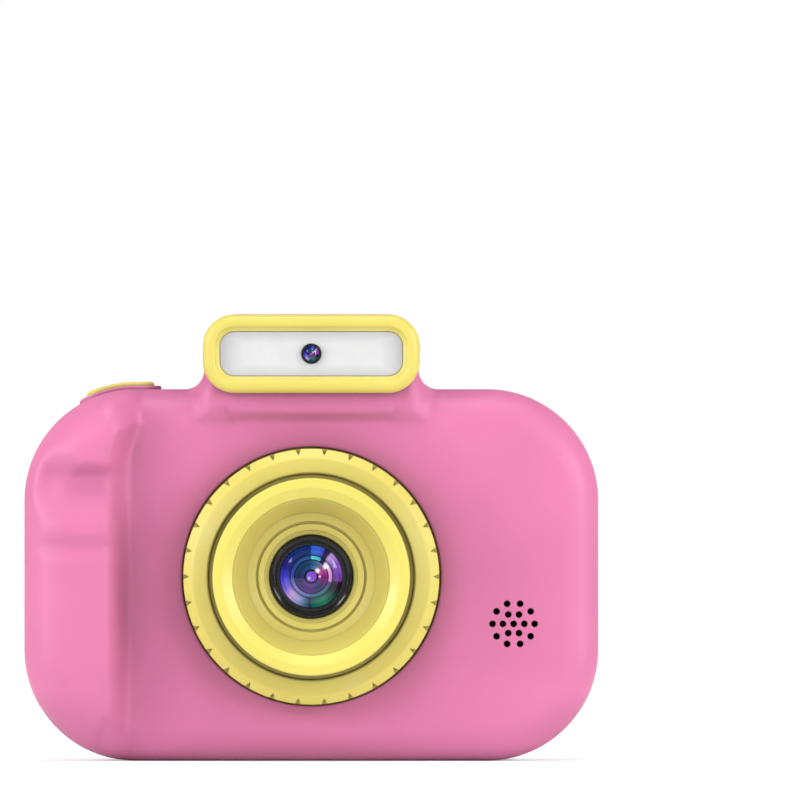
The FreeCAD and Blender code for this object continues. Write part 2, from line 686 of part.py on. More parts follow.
def picture_symbol(x, z):
    frame = plate(x, z, 3.7, 3.1, 0.5, SYMBOL_Y, SYMBOL_Y + 1)
    frame = frame.cut(plate(x, z, 3.0, 2.4, 0.3, SYMBOL_Y - 1, SYMBOL_Y + 2))
    hills = ((-1.35, -1.05), (1.35, -1.05), (1.35, -0.5), (0.6, 0.2),
             (0.1, -0.3), (-0.5, 0.45), (-1.35, -0.5))
    return [frame, sunk([(x + dx, z + dz) for dx, dz in hills])]


SYMBOLS = {
    "power": power_symbol,
    "up": lambda x, z: arrow_symbol(x, z, 1),
    "settings": gear_symbol,
    "gallery": picture_symbol,
    "down": lambda x, z: arrow_symbol(x, z, -1),
}


def key_cap(name):
    key = KEYS[name]
    x, z = key[:2]
    head = fillet_at(plate(*key, KEY_BACK, KEY_TOP), 0.55, KEY_TOP)
    flange = plate(*grown(key, 0.5), KEY_BACK, 10.1)
    foot = cyl(x, z, 1.5, SWITCH_FACE + 0.8, 9.4)
    return cut_each(head.fuse(flange).fuse(foot), SYMBOLS[name](x, z))


def key_plunger(name):
    x, z = KEYS[name][:2]
    return cyl(x, z, 1.1, SWITCH_FACE - 0.05, SWITCH_FACE + 0.75)


# ---------------------------------------------------------------- battery, speaker, wires
def battery():
    y0, y1 = -1.6, 3.6
    cell = plate(2.0, 31.0, 50.0, 34.0, 1.6, y0, y1)
    rims = [e for e in cell.Edges if e.BoundBox.YLength < 1e-4]
    # the cell stays sharp if its rims can't be rounded
    try:
        cell = cell.makeFillet(1.2, rims)
    except Exception:
        pass
    return cell


def battery_leads():
    cell = battery()
    leads = []
    for x, z in ((29.5, 40.0), (31.5, 42.0)):
        path = [(27.2, 1.0, z), (x, 1.0, z), (x, 3.0, z + 5), (x, BOARD_Y0, z + 5)]
        leads.append(wire_run(path, 0.5).cut(cell))
    return group(leads)


def speaker():
    return turned([(0, -7.2), (5.6, -7.2), (5.6, -8.4), (8.9, -9.0), (9.3, -9.0), (9.3, -11.1),
                   (8.2, -11.1), (7.2, -10.4), (4.0, -10.0), (2.6, -10.7), (0, -10.9)],
                  z=SPEAKER_Z, x=SPEAKER_X)


def speaker_gasket():
    return tube(SPEAKER_X, SPEAKER_Z, 9.2, 8.2, -11.8, -11.1)


def speaker_leads():
    leads = []
    for side in (-1, 1):
        x0, z0 = SPEAKER_X + 3.0 * side, SPEAKER_Z + 1.5
        x1, z1 = 34.0 + 1.2 * side, 14.0
        path = [(x0, -7.2, z0), (x0, -4.5, z0), (x1, -1.0, z1), (x1, BOARD_Y0, z1)]
        leads.append(wire_run(path, 0.4))
    return group(leads)


# ---------------------------------------------------------------- lens group
def lens_base():
    base = turned([(9.0, -10.6), (25.2, -10.6), (25.2, -11.95), (22.0, -11.95), (22.0, -13.2),
                   (17.5, -13.2), (17.5, -20.4), (15.6, -20.4), (15.6, -14.6), (9.0, -14.6)])
    base = base.cut(cyl(SPEAKER_X, SPEAKER_Z, 11.0, -12.5, -10))
    # the flange is flattened on the grip side, where the front wall dips
    flat = box(-26.0, -19.4, -12.5, -10.0, LENS_Z - 20, LENS_Z + 20)
    base = base.cut(flat.cut(cyl(0, LENS_Z, 22.05, -13.0, -9.0)))
    return cut_each(base, [cyl(x, z, 0.75, -12.5, -10) for x, z in LENS_SCREWS])


def lens_screws():
    head_y = -10.58
    screws = []
    for x, z in LENS_SCREWS:
        screw = cyl(x, z, 0.59, -13.0, head_y).fuse(cyl(x, z, 1.2, head_y, -9.8))
        screws.append(screw.cut(block(x, z, 1.6, 0.3, -10.1, -9)))
    return group(screws)


def focus_ring():
    ring = turned([(17.58, -13.3), (RING_R, -13.3), (RING_R, -18.9), (21.5, -19.3), (20.2, -20.1),
                   (19.9, -20.2), (17.95, -21.1), (17.58, -20.9)])
    notch = ((22.6, -0.95), (22.6, 0.95), (20.95, 0.0))    # radius, sideways offset
    for i in range(RING_NOTCHES):
        a = math.radians(6 + 360.0 / RING_NOTCHES * i)
        c, s = math.cos(a), math.sin(a)
        pts = [(r * s + off * c, LENS_Z + r * c - off * s) for r, off in notch]
        ring = ring.cut(prism(pts, -20.6, -15.0))
    return ring


def front_ring():
    return turned([(15.5, -14.7), (15.5, -20.5), (16.8, -20.5), (16.8, -24.3), (16.2, -24.9),
                   (15.4, -25.0), (15.0, -24.9), (13.4, -23.9), (13.4, -14.7)])


def lens_barrel():
    return turned([(13.3, -14.75), (13.3, -23.5), (12.9, -23.5), (11.0, -20.6), (11.0, -19.9),
                   (9.45, -19.3), (9.4, -18.7), (9.1, -18.7), (9.1, -19.0), (7.95, -18.6),
                   (7.9, -18.1), (7.15, -17.9), (7.1, -14.75)])


def lens_mount():
    return turned([(7.0, -11.5), (7.0, -18.2), (6.7, -18.5), (6.3, -18.5), (6.25, -17.2),
                   (5.9, -17.2), (5.9, -12.5), (4.6, -12.5), (4.6, -11.5)])


def lens_retainer():
    return turned([(5.85, -16.1), (5.85, -17.6), (5.6, -17.9), (5.2, -17.6), (5.0, -16.9),
                   (5.0, -16.1)])


def front_glass():
    rim = dome(5.85, 0, LENS_Z, -15.4, 0.9, 1.0).common(cyl(0, LENS_Z, 5.85, -16.05, -13))
    return rim.fuse(dome(4.95, 0, LENS_Z, -16.0, 0.85, 0.5))


def lens_iris():
    return tube(0, LENS_Z, 5.8, 1.6, -14.3, -13.9).fuse(tube(0, LENS_Z, 3.5, 2.9, -14.39, -14.25))


def rear_glass():
    return dome(5.7, 0, LENS_Z, -13.2, 0.5, 0.6)


def camera_module():
    body = block(0, LENS_Z, 10.4, 10.4, -11.4, -8.0)
    body = body.fuse(cyl(0, LENS_Z, 4.4, -12.4, -11.3))
    return body.fuse(block(0, LENS_Z, 13.0, 13.0, -8.0, -7.0))


def camera_flex():
    """Ribbon up from the camera module, back over the battery and up again at the main board."""
    rise = box(-4.0, 4.0, -7.0, -6.85, LENS_Z + 3.0, 50.4)
    across = box(-4.0, 4.0, -7.0, 4.15, 50.4, 50.55)
    return rise.fuse(across).fuse(box(-4.0, 4.0, 4.15, 4.38, 50.4, 55.0))


# ---------------------------------------------------------------- pod
def pod_bezel():
    bezel = plate(0, LIGHT_Z, 37.0, 13.4, 5.4, BEZEL_FACE, POD_FACE)
    # a smaller radius if the full one can't be built
    try:
        bezel = fillet_at(bezel, 1.7, BEZEL_FACE)
    except Exception:
        bezel = fillet_at(bezel, 1.2, BEZEL_FACE)
    bezel = bezel.cut(plate(*grown(LIGHT_WINDOW, 0.05), -20, -10))
    # the opening's rim stays sharp if it can't be rounded
    try:
        rim = [e for e in edges_at(bezel, BEZEL_FACE)
               if abs(e.BoundBox.XMin) < 15.7 and abs(e.BoundBox.XMax) < 15.7]
        bezel = bezel.makeFillet(0.5, rim)
    except Exception:
        pass
    collar = plate(0, LIGHT_Z, 32.2, 8.4, 2.8, POD_FACE, -13.5)
    return bezel.fuse(collar.cut(plate(*grown(LIGHT_RIM, 0.05), -17, -12)))


def flash_window():
    """Window with a rim behind it and a hole for the small lens."""
    step_y = -15.82
    rim = plate(*LIGHT_RIM, step_y, -14.2).cut(plate(0, LIGHT_Z, 28.3, 4.7, 1.0, -15.6, -14))
    window = plate(*LIGHT_WINDOW, -17.3, step_y).fuse(rim)
    return window.cut(cyl(0, LIGHT_Z, 1.75, -20, -10))


def pod_lens_ring():
    return turned([(1.7, -13.4), (1.7, -17.75), (1.3, -17.75), (1.3, -17.0), (1.1, -17.0),
                   (1.1, -13.4)], z=LIGHT_Z)


def pod_lens():
    return dome(1.28, 0, LIGHT_Z, -17.15, 0.28, 0.14)


def flash_board():
    board = plate(0, LIGHT_Z, 29.5, 8.6, 0.8, -12.0, -11.0).cut(cyl(0, LIGHT_Z, 2.1, -13, -10))
    return cut_each(board, [cyl(x, z, 2.2, -14, -9) for x, z in POD_SCREWS])


def flash_leds():
    return group([box(x - 1.4, x + 1.4, -12.7, -12.0, LIGHT_Z - 0.2, LIGHT_Z + 2.6)
                  for x in (-11.5, -6.0, 6.0, 11.5)])


def pod_camera():
    body = box(-4.0, 4.0, -10.9, -6.8, LIGHT_Z - 4.0, LIGHT_Z + 3.4)
    return body.fuse(cyl(0, LIGHT_Z, 1.65, -13.3, -10.8))


def pod_board():
    board = box(-12.0, 12.0, 0.2, 1.2, 60.8, 73.2)
    return cut_each(board, [cyl(x, z, 2.2, -1, 3) for x, z in POD_SCREWS])


def rear_camera():
    return box(-4.0, 4.0, 2.6, 8.0, 62.0, 69.9).fuse(cyl(0, REAR_LENS_Z, 2.6, 7.9, 12.5))


def pod_link():
    """Ribbon from the pod board down to the main board."""
    return box(-2.6, 2.6, 1.2, 1.4, 55.2, 62.6).fuse(box(-2.6, 2.6, 1.2, 4.4, 55.0, 55.2))


def rear_window():
    face_y = 13.85
    window = plate(*REAR_WINDOW, 12.72, face_y).cut(cyl(0, REAR_LENS_Z, 2.42, 10, 15))
    return fillet_at(window, 0.15, face_y)


def rear_lens():
    ball_r = 8.0
    ball = Part.makeSphere(ball_r, V(0, 13.8 - ball_r, REAR_LENS_Z))
    return ball.common(cyl(0, REAR_LENS_Z, 2.38, 12.55, 14))


# ---------------------------------------------------------------- output
# each function's name is the name of its file
PIECES = (
    front_shell, back_shell, case_screws,
    panel_adhesive, panel_mask, back_panel, lcd_module, lcd_tray, lcd_flex,
    main_board, board_parts, usb_socket, card_socket, memory_card, reset_switch, key_switches,
    battery, battery_leads, speaker, speaker_gasket, speaker_leads,
    lens_base, lens_screws, focus_ring, front_ring, lens_barrel, lens_mount, lens_retainer,
    front_glass, lens_iris, rear_glass, camera_module, camera_flex,
    pod_bezel, flash_window, pod_lens_ring, pod_lens, flash_board, flash_leds, pod_camera,
    pod_board, rear_camera, pod_link, rear_window, rear_lens,
    shutter_bezel, shutter_cap, shutter_plunger, shutter_switch, shutter_board,
)
for build in PIECES:
    save(build.__name__, build())
for name in KEYS:
    save("key_" + name, key_cap(name))
    save("plunger_" + name, key_plunger(name))
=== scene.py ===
# Pink and yellow compact camera. It stands near Z = 0 with its lens looking along -Y; the two shells
# part on Y = 0, and the keys and the screen are on the +Y side. Left and right are as seen from
# the front, so left is -X. The shape is in millimetres; materials, lights and camera in metres.

import math

import bmesh
import bpy
import numpy as np
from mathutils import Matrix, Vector


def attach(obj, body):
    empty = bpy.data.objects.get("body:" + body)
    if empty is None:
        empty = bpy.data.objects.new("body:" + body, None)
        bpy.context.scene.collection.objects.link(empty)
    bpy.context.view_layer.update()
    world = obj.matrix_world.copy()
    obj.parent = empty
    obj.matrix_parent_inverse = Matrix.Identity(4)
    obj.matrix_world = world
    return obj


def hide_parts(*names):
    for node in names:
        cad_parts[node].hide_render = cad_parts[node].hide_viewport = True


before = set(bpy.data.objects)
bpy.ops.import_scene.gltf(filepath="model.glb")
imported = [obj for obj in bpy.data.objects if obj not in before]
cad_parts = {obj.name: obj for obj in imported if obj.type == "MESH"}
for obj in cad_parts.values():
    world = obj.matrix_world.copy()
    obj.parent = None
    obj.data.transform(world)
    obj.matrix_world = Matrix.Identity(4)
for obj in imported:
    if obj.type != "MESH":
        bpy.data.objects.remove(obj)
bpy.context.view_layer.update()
MM = 0.001

# ---------------------------------------------------------------------------------------------
# Driving dimensions, in millimetres
# ---------------------------------------------------------------------------------------------
BODY_HALF_WIDTH, BODY_HEIGHT, BODY_RADIUS = 49.0, 63.5, 19.0
CORNER_X = BODY_HALF_WIDTH - BODY_RADIUS
UPPER_CORNER_Z = BODY_HEIGHT - BODY_RADIUS
# the pod is the raised block in the middle of the top
POD_HALF_WIDTH, POD_TOP, POD_RADIUS, POD_FILLET = 18.3, 76.3, 5.5, 3.3
WALL = 2.0
FRONT_DEPTH = BACK_DEPTH = 14.0
OUTLINE_STEP = 0.55
LENS_Z = 31.55
POD_Z = 69.55
FRONT_GLASS_RADIUS = 5.31
POD_LENS_RADIUS = 1.27
REAR_LENS_Z, REAR_LENS_RADIUS = 65.8, 2.42
REAR_WINDOW_Z = 66.05
SPEAKER_X, SPEAKER_Z = 34.5, 23.45
BUTTON_CENTRE = (-32.75, -1.0)  # x, y
SCOOP_CENTRE, SCOOP_RADIUS = (-53.3, 3.4, 27.65), 6.4

# Rounded rectangles are (centre x, centre z, width, height, corner radius)
PANEL_BOTTOM, PANEL_TOP = 4.36, 59.0
PANEL_Z = (PANEL_BOTTOM + PANEL_TOP) / 2
PANEL = (0, PANEL_Z, 89.5, PANEL_TOP - PANEL_BOTTOM, 14.7)
KEYS = {
    "power": (-33.5, 49.2, 7.0, 7.05, 2.4),
    "up": (-35.95, 35.15, 11.7, 7.05, 2.8),
    "settings": (-32.05, 25.2, 5.9, 7.6, 2.6),
    "gallery": (-39.85, 25.2, 5.9, 7.6, 2.6),
    "down": (-35.95, 15.2, 11.7, 7.05, 2.8),
}
KEY_CLEARANCE = 0.15
KEY_TOP = 14.3
ICON_DEPTH = 0.28

# x, z of the case screws; the last two are in the pod
SCREWS = [(-38.4, 53.6), (-31.5, 7.9), (42.1, 13.8), (42.3, 41.0), (-11.0, 67.0), (11.0, 67.0)]


# ---------------------------------------------------------------------------------------------
# Curves and outlines
# ---------------------------------------------------------------------------------------------
def smooth_step(t):
    t = np.clip(t, 0.0, 1.0)
    return t * t * (3 - 2 * t)


def smoother_step(t):
    t = np.clip(t, 0.0, 1.0)
    return t * t * t * (t * (6 * t - 15) + 10)


def between(start, end, part):
    return start + (end - start) * part


def body_outline():
    """Points and outward normals in (x, z), counter-clockwise from the bottom centre."""
    rows = []

    def line(x0, z0, x1, z1):
        length = math.hypot(x1 - x0, z1 - z0)
        along_x, along_z = (x1 - x0) / length, (z1 - z0) / length
        count = max(2, round(length / OUTLINE_STEP))
        for i in range(count):
            part = i / count
            rows.append((between(x0, x1, part), between(z0, z1, part), along_z, -along_x))

    def arc(x, z, radius, start, end, side=1):
        count = max(6, round(abs(math.radians(end - start)) * radius / OUTLINE_STEP))
        for i in range(count):
            turn = math.radians(start + (end - start) * i / count)
            cos, sin = math.cos(turn), math.sin(turn)
            rows.append((x + radius * cos, z + radius * sin, side * cos, side * sin))

    fillet_x = POD_HALF_WIDTH + POD_FILLET
    fillet_z = BODY_HEIGHT + POD_FILLET
    pod_corner_x, pod_corner_z = POD_HALF_WIDTH - POD_RADIUS, POD_TOP - POD_RADIUS
    line(0, 0, CORNER_X, 0)
    arc(CORNER_X, BODY_RADIUS, BODY_RADIUS, -90, 0)
    line(BODY_HALF_WIDTH, BODY_RADIUS, BODY_HALF_WIDTH, UPPER_CORNER_Z)
    arc(CORNER_X, UPPER_CORNER_Z, BODY_RADIUS, 0, 90)
    line(CORNER_X, BODY_HEIGHT, fillet_x, BODY_HEIGHT)
    arc(fillet_x, fillet_z, POD_FILLET, 270, 180, -1)
    line(POD_HALF_WIDTH, fillet_z, POD_HALF_WIDTH, pod_corner_z)
    arc(pod_corner_x, pod_corner_z, POD_RADIUS, 0, 90)
    line(pod_corner_x, POD_TOP, 0, POD_TOP)
    rows.append((0, POD_TOP, 0, 1))
    left = [(-x, z, -normal_x, normal_z) for x, z, normal_x, normal_z in rows[1:-1]]
    table = np.array(rows + left[::-1], float)
    return table[:, :2], table[:, 2:]


OUTLINE, NORMALS = body_outline()


def inset(distance):
    """Body outline moved inwards by one distance, or by one for each point."""
    return OUTLINE - NORMALS * np.reshape(distance, (-1, 1))


def front_depth(x, z, groove=1.0):
    """How far the front skin stands in front of Y = 0; groove scales the grip's hollows."""
    # the grip swells out on the left of this line
    grip_edge = -30.9 + 2.7 * smooth_step((z - 50.5) / 11.0)
    swell = smoother_step((grip_edge + 0.5 - x) / 5.3)
    rise = 7.0 - 1.3 * smooth_step((26.0 - z) / 26.0)
    # hollow with a steep upper end and a long lower end, and a narrow dip below it
    hollow = 2.8 * smooth_step((51.5 - z) / 3.4) * (1 - smooth_step((48.3 - z) / 8.9))
    dip = 0.75 * np.exp(-(((z - 36.7) / 1.5) ** 2))
    depth = np.full_like(x, FRONT_DEPTH)
    depth = depth + swell * (rise - (hollow + dip) * groove)
    # shallow valley along the grip's edge, fading out at the bottom and the top
    valley = 0.25 * np.exp(-(((x - grip_edge - 1.6) / 2.6) ** 2))
    depth = depth - valley * smooth_step((z - 1) / 6.0) * smooth_step((62.0 - z) / 8.0)
    # raised face of the pod
    return depth + 1.7 * smoother_step((z - 57.2) / 3.4) * smoother_step((21.2 - np.abs(x)) / 4.0)


def pod_share(x, z):
    """0 on the body, 1 on the pod."""
    return np.where(np.abs(x) < 22.5, smooth_step((z - 62.9) / 3.6), 0.0)


def front_roll(x, z):
    """Edge rounding of the front shell: its inward reach and its depth."""
    grip = smooth_step((-x - 28) / 12.0)
    pod = pod_share(x, z)
    return (6.0 + 1.5 * grip) * (1 - pod) + 1.2 * pod, (6.0 + 2.5 * grip) * (1 - pod) + 1.2 * pod


def back_roll(x, z):
    """Edge rounding of the back shell: its inward reach and its depth."""
    pod = pod_share(x, z)
    return 3.0 * (1 - pod) + 2.4 * pod, 6.0 * (1 - pod) + 4.0 * pod


def rounded_rect(centre_x, centre_z, width, height, radius, arc_steps=10, line_steps=6):
    """Points and outward normals, counter-clockwise from the middle of the left lower corner."""
    half_w, half_h = width / 2, height / 2
    rows = []

    def line(x0, z0, x1, z1, normal_x, normal_z):
        for i in range(line_steps):
            part = i / line_steps
            rows.append((centre_x + x0 + (x1 - x0) * part, centre_z + z0 + (z1 - z0) * part,
                         normal_x, normal_z))

    def arc(x, z, start):
        for i in range(arc_steps):
            turn = math.radians(start + 90 * i / arc_steps)
            cos, sin = math.cos(turn), math.sin(turn)
            rows.append((centre_x + x + radius * cos, centre_z + z + radius * sin, cos, sin))

    line(-half_w + radius, -half_h, half_w - radius, -half_h, 0, -1)
    arc(half_w - radius, -half_h + radius, -90)
    line(half_w, -half_h + radius, half_w, half_h - radius, 1, 0)
    arc(half_w - radius, half_h - radius, 0)
    line(half_w - radius, half_h, -half_w + radius, half_h, 0, 1)
    arc(-half_w + radius, half_h - radius, 90)
    line(-half_w, half_h - radius, -half_w, -half_h + radius, -1, 0)
    arc(-half_w + radius, -half_h + radius, 180)
    table = np.array(rows, float)
    return table[:, :2], table[:, 2:]


def grown(rect, margin):
    x, z, width, height, radius = rect
    return x, z, width + 2 * margin, height + 2 * margin, radius + margin


def ray_hits(rect, angles):
    """Where rays from the panel's centre leave a rounded rectangle."""
    points, _ = rounded_rect(*rect, 24, 24)
    offsets = points - np.array([0.0, PANEL_Z])
    found = np.unwrap(np.arctan2(offsets[:, 1], offsets[:, 0]))
    wanted = np.mod(angles - found[0], 2 * math.pi) + found[0]
    found = np.append(found, found[0] + 2 * math.pi)
    return np.stack([np.interp(wanted, found, np.append(column, column[0]))
                     for column in points.T], 1)


def circle(x, z, radius, angles):
    return np.stack([x + radius * np.cos(angles), z + radius * np.sin(angles)], 1)


def full_turn(count):
    return np.linspace(0, 2 * math.pi, count, endpoint=False)


def rounded_rim(edge, level, steps=5, side=1):
    """Rows of (inset, level) that round an edge; side is the direction the edge faces."""
    rows = []
    for i in range(steps + 1):
        turn = math.pi / 2 * i / steps
        rows.append((edge * (1 - math.cos(turn)), level - side * edge * (1 - math.sin(turn))))
    return rows


def round_profile(rows, steps=5):
    """Rounds the corners of a line given as (radius, y, corner rounding)."""
    result = []
    for i, (radius, y, rounding) in enumerate(rows):
        if i in (0, len(rows) - 1) or rounding <= 0:
            result.append((radius, y))
            continue
        corner = np.array((radius, y), float)
        before = np.array(rows[i - 1][:2], float) - corner
        after = np.array(rows[i + 1][:2], float) - corner
        length_before, length_after = np.linalg.norm(before), np.linalg.norm(after)
        before, after = before / length_before, after / length_after
        angle = math.acos(max(-1, min(1, float(before @ after))))
        reach = min(rounding / math.tan(angle / 2), length_before * 0.48, length_after * 0.48)
        for k in range(steps + 1):
            part = k / steps
            point = corner + before * reach * (1 - part) ** 2 + after * reach * part ** 2
            result.append(tuple(point))
    return result


# ---------------------------------------------------------------------------------------------
# Meshes; a mesh is a pair of (vertices, faces)
# ---------------------------------------------------------------------------------------------
def ring(x, y, z):
    return np.stack(np.broadcast_arrays(x, y, z), 1)


def ring_at(path, y):
    """Ring over a path of (x, z) points, at one y or at one for each point."""
    return ring(path[:, 0], y, path[:, 1])


def join_rings(rings, loop=False, cap_start=False, cap_end=False):
    """Rings of equal length joined by quads; loop also joins the last to the first."""
    size, count = len(rings[0]), len(rings)
    faces = []
    for j in range(count if loop else count - 1):
        this, following = j * size, ((j + 1) % count) * size
        for i in range(size):
            k = (i + 1) % size
            faces.append((this + i, this + k, following + k, following + i))
    if cap_start:
        faces.append(tuple(range(size))[::-1])
    if cap_end:
        faces.append(tuple((count - 1) * size + i for i in range(size)))
    return np.concatenate(rings), faces


def solid(rings):
    return join_rings(rings, cap_start=True, cap_end=True)


def turned(x, z, rows, count):
    """Solid of circles along Y, from rows of (radius, y)."""
    angles = full_turn(count)
    return solid([ring_at(circle(x, z, radius, angles), y) for radius, y in rows])


def cylinder(x, z, radius, y0, y1, count):
    return turned(x, z, ((radius, y0), (radius, y1)), count)


def prism(path, y0, y1):
    return solid([ring_at(path, y0), ring_at(path, y1)])


def rect_prism(rect, y0, y1, arc_steps, line_steps):
    return prism(rounded_rect(*rect, arc_steps, line_steps)[0], y0, y1)


def box(x0, x1, y0, y1, z0, z1):
    corners = [(x, y, z) for x in (x0, x1) for y in (y0, y1) for z in (z0, z1)]
    faces = [(0, 1, 3, 2), (4, 6, 7, 5), (0, 4, 5, 1), (2, 3, 7, 6), (0, 2, 6, 4), (1, 5, 7, 3)]
    return np.array(corners, float), faces


def fix_normals(piece):
    edit = bmesh.new()
    edit.from_mesh(piece.data)
    bmesh.ops.recalc_face_normals(edit, faces=edit.faces)
    edit.to_mesh(piece.data)
    edit.free()


def soften(piece, angle):
    """Smooth shading with sharp edges above an angle in degrees."""
    mesh = piece.data
    mesh.polygons.foreach_set("use_smooth", [True] * len(mesh.polygons))
    mesh.set_sharp_from_angle(angle=math.radians(angle))
    mesh.update()


def new_object(name, shape):
    vertices, faces = shape
    mesh = bpy.data.meshes.new(name)
    mesh.from_pydata([tuple(v) for v in (np.asarray(vertices, float) * MM)], [], faces)
    mesh.validate()
    piece = bpy.data.objects.new(name, mesh)
    bpy.context.scene.collection.objects.link(piece)
    fix_normals(piece)
    return piece


skins = {}


def skin(node, shape, smooth=35.0):
    """Visible piece that stands in for the named node of the frame."""
    piece = new_object(node + "_skin", shape)
    soften(piece, smooth)
    skins[node] = piece
    return piece


def join_meshes(parts):
    vertices, faces, base = [], [], 0
    for part_vertices, part_faces in parts:
        vertices.append(np.asarray(part_vertices, float))
        faces += [tuple(i + base for i in face) for face in part_faces]
        base += len(part_vertices)
    return np.concatenate(vertices), faces


def boolean(piece, parts, operation="DIFFERENCE"):
    """Applies one exact boolean with all the given meshes at once."""
    cutter = new_object("cutter", join_meshes(parts))
    modifier = piece.modifiers.new("b", "BOOLEAN")
    modifier.operation = operation
    modifier.solver = "EXACT"
    modifier.object = cutter
    depsgraph = bpy.context.evaluated_depsgraph_get()
    depsgraph.update()
    mesh = bpy.data.meshes.new_from_object(piece.evaluated_get(depsgraph))
    piece.modifiers.clear()
    old_mesh, cutter_mesh = piece.data, cutter.data
    piece.data = mesh
    mesh.name = piece.name
    bpy.data.meshes.remove(old_mesh)
    bpy.data.objects.remove(cutter)
    bpy.data.meshes.remove(cutter_mesh)


def tidy(piece, smooth=35.0):
    """Cleans up after booleans."""
    edit = bmesh.new()
    edit.from_mesh(piece.data)
    bmesh.ops.dissolve_degenerate(edit, edges=edit.edges, dist=2e-6)
    bmesh.ops.recalc_face_normals(edit, faces=edit.faces)
    edit.to_mesh(piece.data)
    edit.free()
    soften(piece, smooth)


def lathe(node, profile, z=LENS_Z, count=192, smooth=35.0, angles=None, shape=None):
    """Closed (radius, y) profile turned about Y; shape may change the radius round the turn."""
    angles = full_turn(count) if angles is None else angles
    rings = []
    for radius, y in profile:
        radii = shape(radius, y, angles) if shape else radius
        rings.append(ring(radii * np.sin(angles), y, z + radii * np.cos(angles)))
    skin(node, join_rings(rings, loop=True), smooth)


def lathe_dome(node, radius, rim_y, sag, back_y, z=LENS_Z, count=128):
    """Lens with a spherical front and a flat back."""
    sphere = (radius * radius + sag * sag) / (2 * sag)
    centre_y = rim_y - sag + sphere
    profile = []
    for i in range(15):
        reach = radius * i / 14
        profile.append((reach, centre_y - math.sqrt(sphere * sphere - reach * reach)))
    profile += [(radius, back_y), (radius * 0.6, back_y), (0.0, back_y)]
    angles = full_turn(count)
    rings = [ring(reach * np.sin(angles), y, z + reach * np.cos(angles)) for reach, y in profile]
    piece = skin(node, join_rings(rings), 30)
    # merge the ends that lie on the axis
    edit = bmesh.new()
    edit.from_mesh(piece.data)
    bmesh.ops.remove_doubles(edit, verts=edit.verts, dist=1e-7)
    edit.to_mesh(piece.data)
    edit.free()
    fix_normals(piece)
    soften(piece, 30)


def slab(node, rect, y0, y1, edge, arc_steps=10):
    """Plate between y0 and y1 with rounded edges on both faces."""
    points, normals = rounded_rect(*rect, arc_steps, 8)
    side = 1 if y1 > y0 else -1
    rows = rounded_rim(edge, y0, side=-side)[::-1] + rounded_rim(edge, y1, side=side)
    return skin(node, solid([ring_at(points - normals * inward, y) for inward, y in rows]))


# ---------------------------------------------------------------------------------------------
# Shapes shared by several pieces
# ---------------------------------------------------------------------------------------------
def skin_height(x, height):
    """Z of the body skin plus a height, along the top and the top left corner."""
    radius = BODY_RADIUS + height
    bend = np.sqrt(np.maximum(radius * radius - (x + CORNER_X) ** 2, 0.0))
    return np.where(x < -CORNER_X, UPPER_CORNER_Z + bend, UPPER_CORNER_Z + radius)


def over_skin(plan, height):
    """Ring over a plan of (x, y) points, at a height above the body skin."""
    return ring(plan[:, 0], plan[:, 1], skin_height(plan[:, 0], height))


def button_plan(length, width, radius, arc_steps, line_steps):
    """Rounded rectangle in (x, y) about the button's centre, with its normals."""
    return rounded_rect(*BUTTON_CENTRE, length, width, radius, arc_steps, line_steps)


def shrunk(plan, part):
    return between(np.array(BUTTON_CENTRE), plan, part)


def button_block(low, high, length, width, radius, edge=0.0):
    """Block that follows the corner of the body between two heights above its skin."""
    rim = rounded_rim(edge, high) if edge > 0 else [(0.0, high)]
    points, normals = button_plan(length, width, radius, 12, 10)
    rings = [over_skin(shrunk(points, part), low) for part in (0.25, 0.5, 0.75)]
    rings += [over_skin(points - normals * inward, height) for inward, height in [(0, low)] + rim]
    last_inset, last_height = rim[-1]
    top = points - normals * last_inset
    # shrinking rings let the cap follow the curve
    rings += [over_skin(shrunk(top, part), last_height) for part in (0.8, 0.6, 0.4, 0.2)]
    return solid(rings)


def button_well():
    """Shallow curved seat, with a narrower well for the button below it."""
    floor_z, seat_height, open_height = 56.5, -0.95, 3.0
    seat, _ = button_plan(14.1, 14.6, 3.3, 10, 8)
    well, _ = button_plan(10.3, 10.8, 0.6, 10, 8)
    rings = []
    for part in (0.3, 0.65, 1.0):
        plan = shrunk(well, part)
        rings.append(ring(plan[:, 0], plan[:, 1], floor_z))
    rings += [over_skin(well, seat_height), over_skin(seat, seat_height)]
    rings += [over_skin(shrunk(seat, part), open_height) for part in (1.0, 0.65, 0.3)]
    return solid(rings)


def scoop():
    """Ball that leaves a scoop in the left side of both shells."""
    x, y, z = SCOOP_CENTRE
    angles = full_turn(40)
    rings = []
    for j in range(1, 20):
        turn = math.pi * j / 20
        reach = SCOOP_RADIUS * math.sin(turn)
        rings.append(ring(x + SCOOP_RADIUS * math.cos(turn), y + reach * np.cos(angles),
                          z + reach * np.sin(angles)))
    return solid(rings)


def arc_bar(inner, outer, start, end, y0, y1):
    """Curved bar round the centre of the lower right corner; angles in degrees."""
    angles = np.radians(np.linspace(start, end, 10))
    path = np.concatenate([circle(CORNER_X, BODY_RADIUS, outer, angles),
                           circle(CORNER_X, BODY_RADIUS, inner, angles[::-1])])
    return prism(path, y0, y1)


def side_slot(z, y, length, width, flare=None):
    """Obround hole in the left side; flare is (extra, x where it starts to narrow, x of its end)."""
    outside, inside = -50.5, -45.0
    radius, steps = width / 2, 14
    rows = [(0, outside), (0, inside)]
    if flare:
        extra, start, end = flare
        rows = [(extra, outside), (extra, start), (0, end), (0, inside)]
    rings = []
    for extra, x in rows:
        path = []
        for base, shift in ((0, length / 2 - radius), (math.pi, -length / 2 + radius)):
            for i in range(steps + 1):
                turn = base + math.pi * i / steps
                path.append((y + (radius + extra) * math.cos(turn),
                             z + shift + (radius + extra) * math.sin(turn)))
        path = np.array(path)
        rings.append(ring(x, path[:, 0], path[:, 1]))
    return solid(rings)


